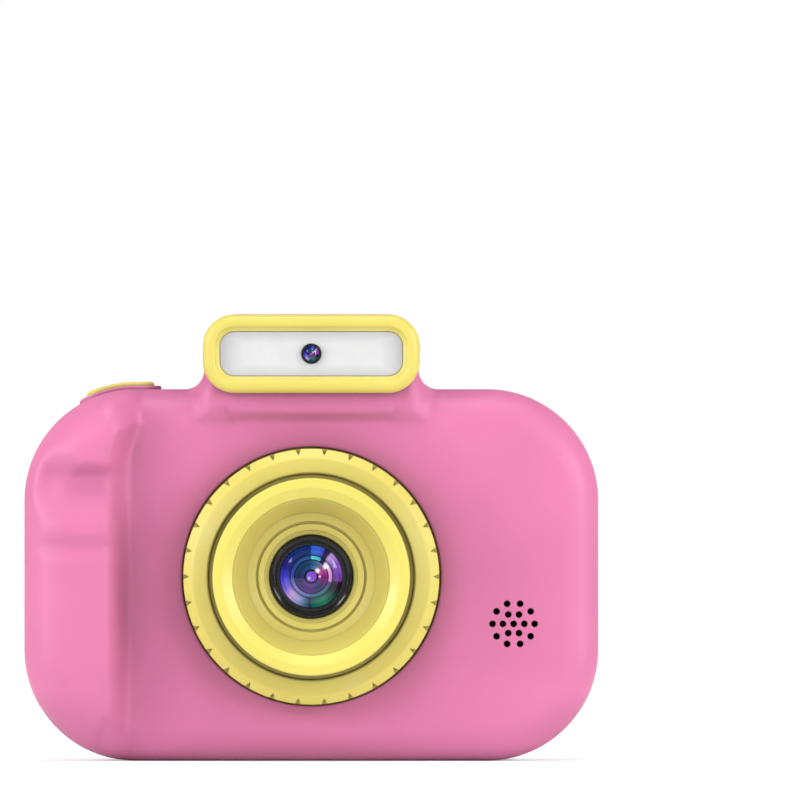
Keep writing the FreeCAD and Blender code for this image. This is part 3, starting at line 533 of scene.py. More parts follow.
# ---------------------------------------------------------------------------------------------
# Front shell
# ---------------------------------------------------------------------------------------------
def front_rings():
    reach, roll_depth = front_roll(*OUTLINE.T)
    edge = inset(reach)
    depth, plain = front_depth(*edge.T), front_depth(*edge.T, groove=0.0)
    # hairline chamfer at the parting line, then the side wall
    rings = [ring_at(inset(0.22), 0.0), ring_at(inset(0.06), -0.06), ring_at(OUTLINE, -0.25)]
    for part in (0.25, 0.5, 0.75, 0.92):
        rings.append(ring_at(OUTLINE, -0.25 - (plain - roll_depth - 0.25) * part))
    # rounded edge; the grip's hollows come in part of the way round it
    for i in range(19):
        turn = math.pi / 2 * i / 18
        level = between(plain, depth, smooth_step((90.0 * i / 18 - 30.0) / 42.0))
        rings.append(ring_at(inset(reach * (1 - math.cos(turn))),
                             -(level - roll_depth + roll_depth * math.sin(turn))))
    # face, running in to the lens opening
    angles = np.arctan2(edge[:, 1] - LENS_Z, edge[:, 0])
    opening = circle(0, LENS_Z, 22.35, angles)
    for i in range(1, 61):
        path = between(edge, opening, i / 60)
        rings.append(ring_at(path, -front_depth(*path.T)))
    for radius, y in ((22.17, -13.93), (22.1, -13.75), (22.1, -12.0)):
        rings.append(ring_at(circle(0, LENS_Z, radius, angles), y))
    # inside
    inner_reach = np.maximum(reach - WALL, 0.7)
    inner_roll = np.maximum(roll_depth - WALL, 0.7)
    inner_edge = inset(WALL + inner_reach)
    inner_depth = front_depth(*inner_edge.T) - WALL
    opening = circle(0, LENS_Z, 24.0, angles)
    for i in range(15):
        path = between(opening, inner_edge, i / 14)
        rings.append(ring_at(path, -(front_depth(*path.T) - WALL)))
    for i in range(1, 7):
        turn = math.pi / 2 * (1 - i / 6)
        rings.append(ring_at(inset(WALL + inner_reach * (1 - math.cos(turn))),
                             -(inner_depth - inner_roll + inner_roll * math.sin(turn))))
    rings.append(ring_at(inset(WALL), -(inner_depth - inner_roll) * 0.5))
    rings.append(ring_at(inset(WALL), 0.0))
    return rings


def build_front_shell():
    shell = skin("front_shell", join_rings(front_rings(), loop=True), 40)
    # screw posts reach to 1 mm below the lowest skin over them
    post_radius = 1.9
    offsets = np.array([-post_radius, 0, post_radius])
    posts = []
    for x, z in SCREWS:
        depth = float(front_depth(x + offsets[:, None], z + offsets).min())
        posts.append(cylinder(x, z, post_radius, -(depth - 1.0), 10.1, 28))
    for x, z in ((27.0, 8.0), (27.0, 54.0), (-24.0, 5.6), (-20.5, 56.0)):
        posts.append(cylinder(x, z, 1.6, -12.6, 4.35, 24))
    # two upright ribs below the button
    posts.append(box(-36.9, -35.6, -14.5, -2.0, 50.6, 52.5))
    posts.append(box(-27.6, -26.3, -13.0, -2.0, 50.6, 52.5))
    boolean(shell, posts, "UNION")

    cuts = []
    # speaker holes: (radius, y) of one hole, then (count, circle radius)
    hole = ((0.66, -15.0), (0.66, -14.03), (0.56, -13.9), (0.56, -11.0))
    for count, reach in ((1, 0.0), (6, 1.834), (10, 3.6)):
        for i in range(count):
            turn = 2 * math.pi * i / count
            cuts.append(turned(SPEAKER_X + reach * math.cos(turn),
                               SPEAKER_Z + reach * math.sin(turn), hole, 28))
    cuts.append(rect_prism((0, POD_Z, 32.5, 8.7, 2.9), -17.5, -12.0, 10, 8))
    cuts += [button_well(), scoop()]
    cuts += [cylinder(x, z, 0.7, 0.5, 12.0, 20) for x, z in SCREWS]
    boolean(shell, cuts)
    tidy(shell, smooth=62)


# ---------------------------------------------------------------------------------------------
# Back shell
# ---------------------------------------------------------------------------------------------
def back_rings():
    ledge_inside, ledge_outside = 10.2, 12.2  # y of the ledge that carries the panel
    reach, roll_depth = back_roll(*OUTLINE.T)
    # hairline chamfer, side wall, rounded edge
    rings = [ring_at(inset(0.22), 0.0), ring_at(inset(0.06), 0.06), ring_at(OUTLINE, 0.25)]
    for part in (0.33, 0.66, 0.92):
        rings.append(ring_at(OUTLINE, 0.25 + (BACK_DEPTH - roll_depth - 0.25) * part))
    for i in range(15):
        turn = math.pi / 2 * i / 14
        rings.append(ring_at(inset(reach * (1 - math.cos(turn))),
                             BACK_DEPTH - roll_depth + roll_depth * math.sin(turn)))
    # face, running in to the bevelled recess for the panel
    edge = inset(reach)
    angles = np.arctan2(edge[:, 1] - PANEL_Z, edge[:, 0])
    recess = ray_hits(grown(PANEL, 1.15), angles)
    for part in (0.33, 0.66, 1.0):
        rings.append(ring_at(between(edge, recess, part), BACK_DEPTH - 0.02 * part))
    for margin, y in ((0.95, BACK_DEPTH - 0.12), (0.3, 13.42), (0.15, 13.3),
                      (0.15, ledge_outside)):
        recess = ray_hits(grown(PANEL, margin), angles)
        rings.append(ring_at(recess, y))
    # ledge and the opening for the screen
    opening = ray_hits((5.9, 31.4, 68.4, 47.4, 1.0), angles)
    for part in (0.3, 0.65, 1.0):
        rings.append(ring_at(between(recess, opening, part), ledge_outside))
    rings.append(ring_at(opening, ledge_inside))
    # inside
    inner_reach = np.maximum(reach - WALL, 1.0)
    inner_roll = np.maximum(roll_depth - WALL, 1.5)
    inner_edge = inset(WALL + inner_reach)
    for part in (0.3, 0.65, 1.0):
        rings.append(ring_at(between(opening, inner_edge, part), ledge_inside))
    for i in range(1, 6):
        turn = math.pi / 2 * (1 - i / 5)
        rings.append(ring_at(inset(WALL + inner_reach * (1 - math.cos(turn))),
                             ledge_inside - inner_roll + inner_roll * math.sin(turn)))
    rings.append(ring_at(inset(WALL), (ledge_inside - inner_roll) * 0.5))
    rings.append(ring_at(inset(WALL), 0.0))
    return rings


def rear_window_recess():
    """Rounded rectangular recess with a round hole for the rear lens below it."""
    path, _ = rounded_rect(0, REAR_WINDOW_Z, 27.1, 11.45, 1.25, 8, 8)
    angles = np.arctan2(path[:, 1] - REAR_LENS_Z, path[:, 0])
    hole = circle(0, REAR_LENS_Z, 3.0, angles)
    return solid([ring_at(hole, 9.0), ring_at(hole, 12.7), ring_at(path, 12.7),
                  ring_at(path, 16.0)])


def build_back_shell():
    shell = skin("back_shell", join_rings(back_rings(), loop=True), 40)
    boolean(shell, [arc_bar(14.6, 18.0, -64.5, -29.2, 0.3, 7.6)], "UNION")
    cuts = [rear_window_recess()]
    cuts += [rect_prism(grown(rect, KEY_CLEARANCE), 9.5, 13.0, 8, 4) for rect in KEYS.values()]
    for x, z in SCREWS:
        top = 12.35 if z < 60 else 12.6
        cuts.append(turned(x, z, ((1.0, 9.5), (1.0, 11.3), (1.85, 11.3), (1.85, top)), 24))
    cuts += [side_slot(z=45.0, y=7.25, length=9.3, width=3.6, flare=(1.0, -48.55, -48.0)),
             side_slot(z=27.65, y=3.4, length=13.7, width=1.9, flare=(0.25, -48.95, -48.6)),
             side_slot(z=44.6, y=1.9, length=1.1, width=1.0),
             arc_bar(16.0, 21.0, -39.4, -30.8, 2.2, 5.8),
             arc_bar(16.0, 21.0, -58.7, -49.7, 2.2, 5.8),
             button_well()]
    boolean(shell, cuts)
    # second pass: the tunnel between the two corner holes, the scoop and the pod's screw heads
    cuts = [arc_bar(16.05, 17.6, -50.5, -38.6, 2.25, 5.75), scoop()]
    cuts += [cylinder(x, z, 1.85, 12.5, 12.9, 24) for x, z in SCREWS[4:]]
    boolean(shell, cuts)
    tidy(shell, smooth=38)


# ---------------------------------------------------------------------------------------------
# Lens group; profile rows are (radius, y, corner rounding)
# ---------------------------------------------------------------------------------------------
def build_focus_ring():
    """Ring with 30 V-shaped nicks in its outer rim, one every 12 degrees."""
    rim, nick_depth, nick_half_angle = 21.8, 0.95, 1.3
    offsets = (-1.32, -1.3, -0.9, -0.45, 0.0, 0.45, 0.9, 1.3, 1.32, 2.6, 4.2, 6.0, 7.8, 9.4)
    angles = np.array([math.radians(6 + 12 * i) + math.radians(offset)
                       for i in range(30) for offset in offsets])

    def nicked(radius, y, angles):
        if radius <= 20.3 or y >= -15.2:
            return radius
        from_nick = np.mod(np.degrees(angles), 12) - 6
        share = np.clip(1 - np.abs(from_nick) / nick_half_angle, 0, 1)
        return np.minimum(radius, rim - share * nick_depth)

    bevel = [(rim - 1.55 * part, -18.75 - 1.25 * part, 0)
             for part in (0.1, 0.22, 0.34, 0.46, 0.58, 0.7, 0.85)]
    start = (17.58, -13.3, 0)
    rows = [start, (21.6, -13.3, 0.1), (rim, -13.5, 0), (rim, -15.2, 0), (rim, -15.25, 0),
            (rim, -18.75, 0.15), *bevel, (20.2, -20.05, 0.08), (17.85, -21.2, 0.2),
            (17.58, -21.0, 0.1), start]
    lathe("focus_ring", round_profile(rows)[:-1], smooth=28, angles=angles, shape=nicked)


FRONT_RING = [
    (15.5, -14.7, 0), (15.5, -20.5, 0.1), (16.8, -20.5, 0.12), (16.8, -24.8, 0.1),
    (16.6, -25.0, 0.1), (15.2, -25.0, 0.5), (13.5, -23.9, 0.1), (13.35, -23.6, 0.05),
    (13.35, -14.7, 0),
]
LENS_BARREL = [
    (13.34, -14.75, 0), (13.34, -23.62, 0), (13.2, -23.62, 0.08), (11.05, -20.6, 0.1),
    (10.95, -20.0, 0.1), (9.5, -19.5, 0.1), (9.4, -18.9, 0.04), (9.12, -18.9, 0.04),
    (9.02, -19.25, 0.1), (7.98, -18.9, 0.08), (7.9, -18.5, 0.06), (7.25, -18.3, 0.08),
    (7.1, -18.0, 0.06), (7.1, -14.75, 0),
]
LENS_MOUNT = [
    (7.04, -11.5, 0), (7.04, -18.55, 0.12), (6.75, -18.8, 0.2), (6.2, -18.55, 0.1),
    (6.12, -18.1, 0.03), (6.02, -18.1, 0.02), (6.02, -12.5, 0.02), (4.6, -12.5, 0.02),
    (4.6, -11.5, 0),
]
LENS_RETAINER = [
    (6.0, -16.2, 0), (6.0, -18.15, 0.05), (5.5, -18.15, 0.12), (5.32, -17.7, 0.1),
    (5.32, -16.2, 0),
]
LENS_BASE = [
    (9.0, -10.6, 0), (25.2, -10.6, 0.1), (25.2, -11.95, 0.1), (22.0, -11.95, 0.1),
    (22.0, -13.2, 0.1), (17.5, -13.2, 0.1), (17.5, -20.2, 0.2), (15.6, -20.2, 0.2),
    (15.6, -14.6, 0.1), (9.0, -14.6, 0),
]
LENS_IRIS = [  # (radius, y), left sharp
    (5.8, -14.3), (5.8, -15.3), (5.0, -15.2), (3.5, -14.75), (3.45, -15.1), (3.0, -15.0),
    (2.9, -14.6), (1.7, -14.42), (1.7, -14.3),
]


def build_lens_group():
    build_focus_ring()
    lathe("front_ring", round_profile(FRONT_RING, 6), count=256)
    lathe("lens_barrel", round_profile(LENS_BARREL), count=256)
    lathe("lens_mount", round_profile(LENS_MOUNT))
    lathe("lens_retainer", round_profile(LENS_RETAINER))
    lathe("lens_base", round_profile(LENS_BASE, 3))
    base = skins["lens_base"]
    # room for the speaker
    boolean(base, [cylinder(SPEAKER_X, SPEAKER_Z, 11.0, -12.5, -10, 64)])
    tidy(base)
    lathe_dome("front_glass", FRONT_GLASS_RADIUS, rim_y=-16.75, sag=1.0, back_y=-15.4)
    lathe_dome("rear_glass", 4.9, rim_y=-14.1, sag=0.8, back_y=-13.3)
    lathe("lens_iris", LENS_IRIS, count=128)


# ---------------------------------------------------------------------------------------------
# Pod
# ---------------------------------------------------------------------------------------------
def build_pod_bezel():
    rows = [(0.35, -15.78), (0.12, -15.85), (0.0, -16.1)]  # (inset, y)
    for i in range(11):
        turn = math.pi / 2 * i / 10
        rows.append((1.35 * (1 - math.cos(turn)), -16.9 - 1.5 * math.sin(turn)))
    for i in range(1, 9):
        turn = math.pi / 2 * i / 8
        rows.append((1.35 + 0.75 * math.sin(turn), -18.4 + 0.30 * (1 - math.cos(turn))))
    rows += [(2.35, -17.75), (2.55, -17.55), (2.8, -17.45), (2.88, -17.3), (2.88, -16.4),
             (2.88, -15.82)]
    points, normals = rounded_rect(0, POD_Z, 37.0, 13.4, 5.4, 18, 12)
    rings = [ring_at(points - normals * inward, y) for inward, y in rows]
    # collar that hooks into the shell
    inner = rounded_rect(0, POD_Z, 30.2, 6.6, 1.8, 18, 12)[0]
    outer = rounded_rect(0, POD_Z, 32.2, 8.4, 2.8, 18, 12)[0]
    rings += [ring_at(inner, -15.8), ring_at(inner, -13.5)]
    rings += [ring_at(outer, -13.5), ring_at(outer, -15.78)]
    skin("pod_bezel", join_rings(rings, loop=True))


def build_pod():
    build_pod_bezel()
    window = slab("flash_window", (0, POD_Z, 31.16, 7.56, 2.45), -15.84, -17.2, 0.2, 14)
    boolean(window, [cylinder(0, POD_Z, 1.76, -19, -14, 48)])
    tidy(window)
    start = (1.1, -13.4, 0)
    rows = [start, (1.72, -13.4, 0), (1.72, -17.85, 0.12), (1.38, -17.85, 0.1),
            (1.3, -17.1, 0.04), (1.1, -17.0, 0.03), start]
    lathe("pod_lens_ring", round_profile(rows, 4)[:-1], z=POD_Z, count=96)
    lathe_dome("pod_lens", POD_LENS_RADIUS, rim_y=-17.2, sag=0.35, back_y=-17.02, z=POD_Z,
               count=96)
    window = slab("rear_window", (0, REAR_WINDOW_Z, 26.8, 11.15, 1.1), 12.72, 13.85, 0.18)
    boolean(window, [cylinder(0, REAR_LENS_Z, REAR_LENS_RADIUS, 10, 15, 64)])
    tidy(window)


# ---------------------------------------------------------------------------------------------
# Shutter button
# ---------------------------------------------------------------------------------------------
def build_shutter():
    bezel = skin("shutter_bezel", button_block(-0.9, 0.62, 13.9, 14.4, 3.2, edge=0.35))
    boolean(bezel, [button_block(-3.0, 3.0, 11.8, 12.3, 2.45)])
    tidy(bezel)

    cap = skin("shutter_cap", button_block(-0.2, 1.27, 11.5, 12.0, 2.3, edge=0.5))
    angles = full_turn(24)
    foot = solid([ring(-31.6 + 1.6 * np.cos(angles), -2.0 + 1.6 * np.sin(angles), z)
                  for z in (56.6, 59.0)])
    plan, _ = button_plan(9.7, 10.2, 1.2, 5, 4)
    stem = solid([ring(plan[:, 0], plan[:, 1], 58.6), over_skin(plan, 0.1)])
    boolean(cap, [stem, foot], "UNION")
    boolean(cap, [box(-36.0, -28.5, -7.2, 5.2, 58.62, 59.4)], "UNION")
    tidy(cap)


# ---------------------------------------------------------------------------------------------
# Keys and panel
# ---------------------------------------------------------------------------------------------
def power_icon(x, z):
    """Open ring with an upright bar in its gap."""
    half_gap = 41
    angles = [math.radians(90 + half_gap + (360 - 2 * half_gap) * i / 30) for i in range(31)]
    outer, inner = (circle(x, z - 0.3, radius, np.array(angles)) for radius in (1.48, 1.17))
    return [np.concatenate([outer, inner[::-1]]),
            rounded_rect(x, z + 0.51, 0.37, 2.12, 0.16, 4, 2)[0]]


# one gear tooth: (angle in degrees, radius)
TOOTH = ((-17, 1.18), (-12.5, 1.27), (-11, 1.49), (-6, 1.59), (0, 1.61), (6, 1.59), (11, 1.49),
         (12.5, 1.27), (17, 1.18))


def gear_icon(x, z):
    points = []
    for i in range(8):
        for angle, radius in TOOTH:
            turn = math.radians(45 * i + angle)
            points.append((x + radius * math.cos(turn), z + radius * math.sin(turn)))
    return np.array(points)


# ridge line with a valley, (x to the right as seen from behind, z) from the key's centre
LANDSCAPE = ((-1.18, 0.57), (1.16, 0.57), (1.08, 0.25), (0.96, -0.1), (0.82, -0.38),
             (0.64, -0.56), (0.45, -0.62), (0.27, -0.52), (0.1, -0.26), (-0.08, 0.06),
             (-0.26, 0.28), (-0.5, 0.36), (-0.76, 0.26), (-0.98, 0.08), (-1.14, -0.12))


def cut_icon(cap, name):
    x, z = KEYS[name][:2]
    floor_y, above = KEY_TOP - ICON_DEPTH, KEY_TOP + 1
    # raised parts start below the icon's floor and end just under the key's top
    raised_y0, raised_y1 = KEY_TOP - 0.4, KEY_TOP - 0.005

    def triangle(base_z, tip_z):
        return np.array([(x - 1.21, z + base_z), (x + 1.21, z + base_z), (x, z + tip_z)])

    if name == "gallery":
        frame_path = rounded_rect(x, z, 3.52, 2.54, 0.32, 5, 3)[0]
        boolean(cap, [prism(frame_path, floor_y, above)])
        picture = rect_prism((x, z, 2.92, 1.94, 0.08), raised_y0, raised_y1, 3, 3)
        boolean(cap, [picture], "UNION")
        ridge = np.array([(x - right, z + up) for right, up in LANDSCAPE])
        boolean(cap, [prism(ridge, floor_y, above),
                      cylinder(x + 0.57, z - 0.5, 0.32, floor_y, above, 20)])
        return
    paths = {
        "power": power_icon(x, z),
        "up": [triangle(-0.8, 1.54)],
        "down": [triangle(0.89, -1.35)],
        "settings": [gear_icon(x, z)],
    }[name]
    boolean(cap, [prism(path, floor_y, above) for path in paths])
    if name == "settings":
        boolean(cap, [cylinder(x, z, 0.66, raised_y0, raised_y1, 32)], "UNION")
        boolean(cap, [cylinder(x, z, 0.31, floor_y, above, 20)])


def build_key(name):
    rect = KEYS[name]
    points, normals = rounded_rect(*rect, 14, 6)
    flange, _ = rounded_rect(*grown(rect, 0.5), 14, 6)
    rings = [ring_at(flange, 9.35), ring_at(flange, 10.08), ring_at(points, 10.1)]
    rings += [ring_at(points - normals * inward, y)
              for inward, y in rounded_rim(0.6, KEY_TOP, steps=6)]
    cap = skin("key_" + name, solid(rings))
    boolean(cap, [cylinder(rect[0], rect[1], 1.5, 8.4, 9.6, 24)], "UNION")
    cut_icon(cap, name)
    tidy(cap)


def build_panel():
    panel = slab("back_panel", PANEL, 12.45, 13.4, 0.15, 28)
    boolean(panel, [rect_prism(grown(rect, KEY_CLEARANCE), 12.0, 14.0, 14, 6)
                    for rect in KEYS.values()])
    tidy(panel)


build_front_shell()
build_back_shell()
build_lens_group()
build_pod()
build_shutter()
for key_name in KEYS:
    build_key(key_name)
build_panel()


# ---------------------------------------------------------------------------------------------
# Shader helper
# ---------------------------------------------------------------------------------------------
class Shader:
    """Node material; its methods add a node and return an output. Inputs are given by name,
    with underscores for spaces, as a value or as another node's output."""

    def __init__(self, name, principled=True):
        self.material = bpy.data.materials.new(name)
        self.material.use_nodes = True
        self.tree = self.material.node_tree
        self.tree.nodes.clear()
        self.output = self.node("OutputMaterial")
        if principled:
            self.surface = self.node("BsdfPrincipled")
            self.feed(self.output.inputs[0], self.surface.outputs[0])

    def feed(self, socket, value):
        if isinstance(value, bpy.types.NodeSocket):
            self.tree.links.new(value, socket)
        elif socket.type == "RGBA":
            socket.default_value = (*value, 1.0)
        else:
            socket.default_value = value

    def feed_all(self, node, inputs):
        for name, value in inputs.items():
            self.feed(node.inputs[name.replace("_", " ")], value)

    def node(self, kind, **inputs):
        node = self.tree.nodes.new("ShaderNode" + kind)
        self.feed_all(node, inputs)
        return node

    def set(self, **inputs):
        self.feed_all(self.surface, inputs)

    def coords(self):
        return self.node("TexCoord").outputs["Object"]

    def separate(self, vector):
        return self.node("SeparateXYZ", Vector=vector).outputs

    def noise(self, vector, scale, detail=3.0, roughness=0.55):
        return self.node("TexNoise", Scale=scale, Detail=detail, Roughness=roughness,
                         Vector=vector).outputs["Fac"]

    def remap(self, value, low, high, start=0.3, end=0.7):
        """Low to high while the value goes from start to end."""
        return self.node("MapRange", From_Min=start, From_Max=end, To_Min=low, To_Max=high,
                         Value=value).outputs["Result"]

    def rise(self, value, start=0.3, end=0.7):
        return self.remap(value, 0.0, 1.0, start, end)

    def fall(self, value, start, end):
        return self.remap(value, 1.0, 0.0, start, end)

    def mix(self, factor, first, second, mode="MIX"):
        node = self.node("Mix")
        node.data_type = "RGBA"
        node.blend_type = mode
        # 0, 6 and 7 are the factor and the two colours
        for index, value in ((0, factor), (6, first), (7, second)):
            self.feed(node.inputs[index], value)
        return node.outputs[2]

    def math(self, operation, *values):
        node = self.node("Math")
        node.operation = operation
        for index, value in enumerate(values):
            self.feed(node.inputs[index], value)
        return node.outputs[0]

    def offset(self, value, centre, scale):
        """(value - centre) / scale"""
        return self.math("DIVIDE", self.math("SUBTRACT", value, centre), scale)

    def length(self, x, z):
        x_squared = self.math("MULTIPLY", x, x)
        z_squared = self.math("MULTIPLY", z, z)
        return self.math("SQRT", self.math("ADD", x_squared, z_squared))

    def ramp(self, factor, stops):
        """Colour ramp from (position, colour) stops."""
        node = self.node("ValToRGB", Fac=factor)
        elements = node.color_ramp.elements
        elements[0].position, elements[0].color = stops[0][0], (*stops[0][1], 1.0)
        elements[1].position, elements[1].color = stops[-1][0], (*stops[-1][1], 1.0)
        for position, color in stops[1:-1]:
            elements.new(position).color = (*color, 1.0)
        return node.outputs[0]

    def bump(self, height, strength, distance):
        node = self.node("Bump", Strength=strength, Distance=distance, Height=height)
        self.set(Normal=node.outputs[0])


def scaled(color, factor, extra=0.0):
    return tuple(min(1.0, c * factor + extra) for c in color)


def paler(color, share):
    return tuple(c + (1 - c) * share for c in color)


def greys(stops):
    return [(position, (grey, grey, grey)) for position, grey in stops]


# ---------------------------------------------------------------------------------------------
# Materials
# ---------------------------------------------------------------------------------------------
def painted_shade_by_radius(shader, color, radial_shade):
    """Painted shade that changes with the distance from the lens axis; radial_shade is (mm, factor).
    """
    reach = 25.0
    xyz = shader.separate(shader.coords())
    up = shader.math("SUBTRACT", xyz["Z"], LENS_Z * MM)
    position = shader.math("DIVIDE", shader.length(xyz["X"], up), reach * MM)
    shade_factor = shader.ramp(position, greys([(radius / reach, shade_factor) for radius, shade_factor in radial_shade]))
    return shader.mix(1.0, color, shade_factor, "MULTIPLY")


def plastic(name, color, roughness=0.42, grain=1400.0, bump=0.05, wear=0.10, painted_shade=None,
            reach=0.006, depth=0.75, bounce=None, radial_shade=None):
    """Moulded plastic with fine grain, uneven gloss and paler edges. wear is the strength of the
    pale edges; painted_shade the colour of painted shade in recesses and round raised parts, with
    its reach in metres and its depth as a share; bounce the colour that diffuse rays see;
    radial_shade is painted shade by radius, see painted_shade_by_radius."""
    shader = Shader(name)
    position = shader.coords()
    patches = shader.noise(position, scale=38.0, detail=2.0)
    grains = shader.noise(position, scale=grain, detail=2.0)
    smears = shader.noise(position, scale=160.0, detail=4.0, roughness=0.65)
    tint = shader.mix(shader.rise(patches), scaled(color, 0.94), scaled(color, 1.04, 0.004))
    geometry = shader.node("NewGeometry")
    edge = shader.rise(geometry.outputs["Pointiness"], 0.55, 0.66)
    tint = shader.mix(shader.math("MULTIPLY", edge, wear), tint, paler(color, 0.35))
    if painted_shade:
        # painted shade: ambient occlusion darkens the colour in recesses and round raised parts
        occlusion = shader.node("AmbientOcclusion", Distance=reach)
        occlusion.samples = 6
        shade_share = shader.fall(occlusion.outputs["AO"], 0.25, 0.95)
        share = shader.math("MULTIPLY", shade_share, depth)
        # painted shade, weaker near the floor, between 3 and 14 mm up
        height = shader.separate(position)["Z"]
        share = shader.math("MULTIPLY", share, shader.remap(height, 0.15, 1.0, 0.003, 0.014))
        tint = shader.mix(share, tint, painted_shade)
    if bounce:
        tint = shader.mix(shader.node("LightPath").outputs["Is Diffuse Ray"], tint, bounce)
    gloss = shader.remap(smears, roughness - 0.05, roughness + 0.07)
    shader.bump(grains, strength=bump, distance=0.0002)
    # painted shade by distance from the lens axis
    if radial_shade:
        tint = painted_shade_by_radius(shader, tint, radial_shade)
    shader.set(Base_Color=tint, Roughness=gloss, Coat_Roughness=0.15)
    return shader.material


def metal(name, color, roughness=0.35):
    """Bare metal with streaks across Y and faint stains."""
    shader = Shader(name)
    position = shader.coords()
    stretched = shader.node("Mapping", Scale=(60, 900, 60), Vector=position).outputs[0]
    streaks = shader.noise(stretched, scale=12.0)
    stains = shader.noise(position, scale=120.0)
    shader.set(Base_Color=shader.mix(shader.rise(stains), scaled(color, 0.85), color),
               Metallic=1.0,
               Roughness=shader.remap(streaks, roughness - 0.1, roughness + 0.12))
    shader.bump(streaks, strength=0.06, distance=0.0001)
    return shader.material


def circuit():
    """Green circuit board with lighter tracks under the varnish."""
    green = (0.015, 0.16, 0.07)
    shader = Shader("board_green")
    position = shader.coords()
    turned_position = shader.node("Mapping", Rotation=(math.radians(90), 0, 0), Vector=position)
    tracks = shader.node("TexBrick", Scale=210.0, Mortar_Size=0.012, Color1=scaled(green, 0.8),
                         Color2=green, Mortar=scaled(green, 1.9, 0.02),
                         Vector=turned_position.outputs[0]).outputs
    cloud = shader.noise(position, scale=300.0, detail=2.0)
    tint = shader.mix(shader.remap(cloud, 0, 0.35), tracks["Color"], scaled(green, 0.5))
    shader.set(Base_Color=tint, Roughness=shader.remap(cloud, 0.25, 0.4))
    shader.bump(tracks["Fac"], strength=0.2, distance=0.0001)
    return shader.material


def milky_cover():
    """Milky light cover with painted shade towards its rim, a faint painted glow from emission and
    faint ribbing.
    """
    shader = Shader("milky_cover")
    position = shader.coords()
    xyz = shader.separate(position)
    from_side = shader.math("ABSOLUTE", xyz["X"])
    from_middle = shader.math("ABSOLUTE", shader.math("SUBTRACT", xyz["Z"], POD_Z * MM))
    # painted shade: the colour darkens towards the rim
    rim = shader.math("MAXIMUM", shader.rise(from_side, 0.0115, 0.0158),
                      shader.rise(from_middle, 0.0018, 0.0040))
    cloud = shader.noise(position, scale=220.0, detail=2.0)
    white = shader.mix(shader.rise(cloud), (0.76, 0.76, 0.765), (0.79, 0.79, 0.79))
    shader.set(Base_Color=shader.mix(rim, white, (0.58, 0.58, 0.60)),
               Roughness=shader.remap(cloud, 0.28, 0.36),
               Emission_Color=(1, 1, 1),
               Emission_Strength=0.06)
    ribs = shader.node("TexWave", Scale=420.0, Distortion=0.0, Vector=position)
    shader.bump(ribs.outputs["Fac"], strength=0.05, distance=0.0002)
    return shader.material


def from_srgb(color):
    """Linear colour from 8-bit sRGB."""
    return tuple(c / 255.0 / 12.92 if c <= 10 else ((c / 255.0 + 0.055) / 1.055) ** 2.4
                 for c in color)


# Coating tints and painted reflections round the lens axis: (degrees from +X towards +Z, red, green,
# blue in 8-bit sRGB)
OUTER_SECTORS = (
    (0, 120, 70, 175), (28, 150, 100, 210), (47, 205, 165, 235), (50, 52, 42, 92),
    (60, 40, 32, 78), (63, 70, 80, 215), (78, 60, 110, 225), (89, 60, 100, 225),
    (91, 22, 50, 120), (125, 20, 48, 120), (160, 34, 36, 140), (182, 70, 70, 215),
    (205, 120, 105, 228), (222, 205, 165, 225), (240, 160, 165, 222), (256, 78, 115, 150),
    (268, 28, 48, 70), (272, 26, 100, 95), (300, 42, 128, 98), (322, 28, 62, 58),
    (338, 30, 18, 34), (349, 50, 20, 60), (351, 120, 60, 160), (360, 120, 70, 175),
)
MIDDLE_SECTORS = (
    (0, 238, 155, 238), (20, 245, 190, 245), (33, 255, 250, 255), (44, 225, 210, 250),
    (48, 40, 34, 80), (60, 34, 34, 84), (63, 70, 200, 228), (88, 95, 228, 235),
    (91, 32, 95, 165), (140, 26, 84, 150), (180, 52, 76, 185), (212, 130, 130, 215),
    (245, 120, 125, 198), (275, 60, 118, 150), (315, 58, 118, 142), (342, 70, 70, 120),
    (348, 235, 150, 235), (360, 238, 155, 238),
)
INNER_SECTORS = (
    (0, 160, 24, 140), (25, 200, 90, 175), (48, 150, 120, 175), (75, 48, 120, 165),
    (100, 26, 72, 118), (140, 22, 62, 115), (180, 34, 46, 102), (225, 78, 52, 135),
    (270, 98, 52, 142), (300, 44, 62, 118), (335, 100, 30, 120), (360, 160, 24, 140),
)
# Edges of the inner elements: (share of the glass radius, brightness)
GLASS_SHADE = (
    (0.0, 1.0), (0.165, 0.9), (0.175, 0.02), (0.225, 0.02), (0.24, 0.9), (0.30, 1.0),
    (0.40, 0.55), (0.515, 0.8), (0.53, 0.02), (0.552, 0.02), (0.57, 0.95), (0.655, 0.75),
    (0.672, 0.10), (0.688, 0.12), (0.71, 0.6), (0.80, 0.95), (0.93, 0.8), (0.955, 1.0),
    (0.985, 0.9), (1.0, 0.02),
)
# Painted glints: (x, z, full radius, faded radius, colour, strength), lengths in glass radii
GLINTS = (
    (0.20, 0.19, 0.03, 0.10, (1, 1, 1), 0.95),
    (0.455, 0.32, 0.04, 0.11, (1, 1, 1), 0.95),
    (0.27, 0.0, 0.01, 0.05, (1, 1, 1), 0.8),
    (-0.07, -0.05, 0.01, 0.07, (0.8, 0.75, 1.0), 0.7),
)


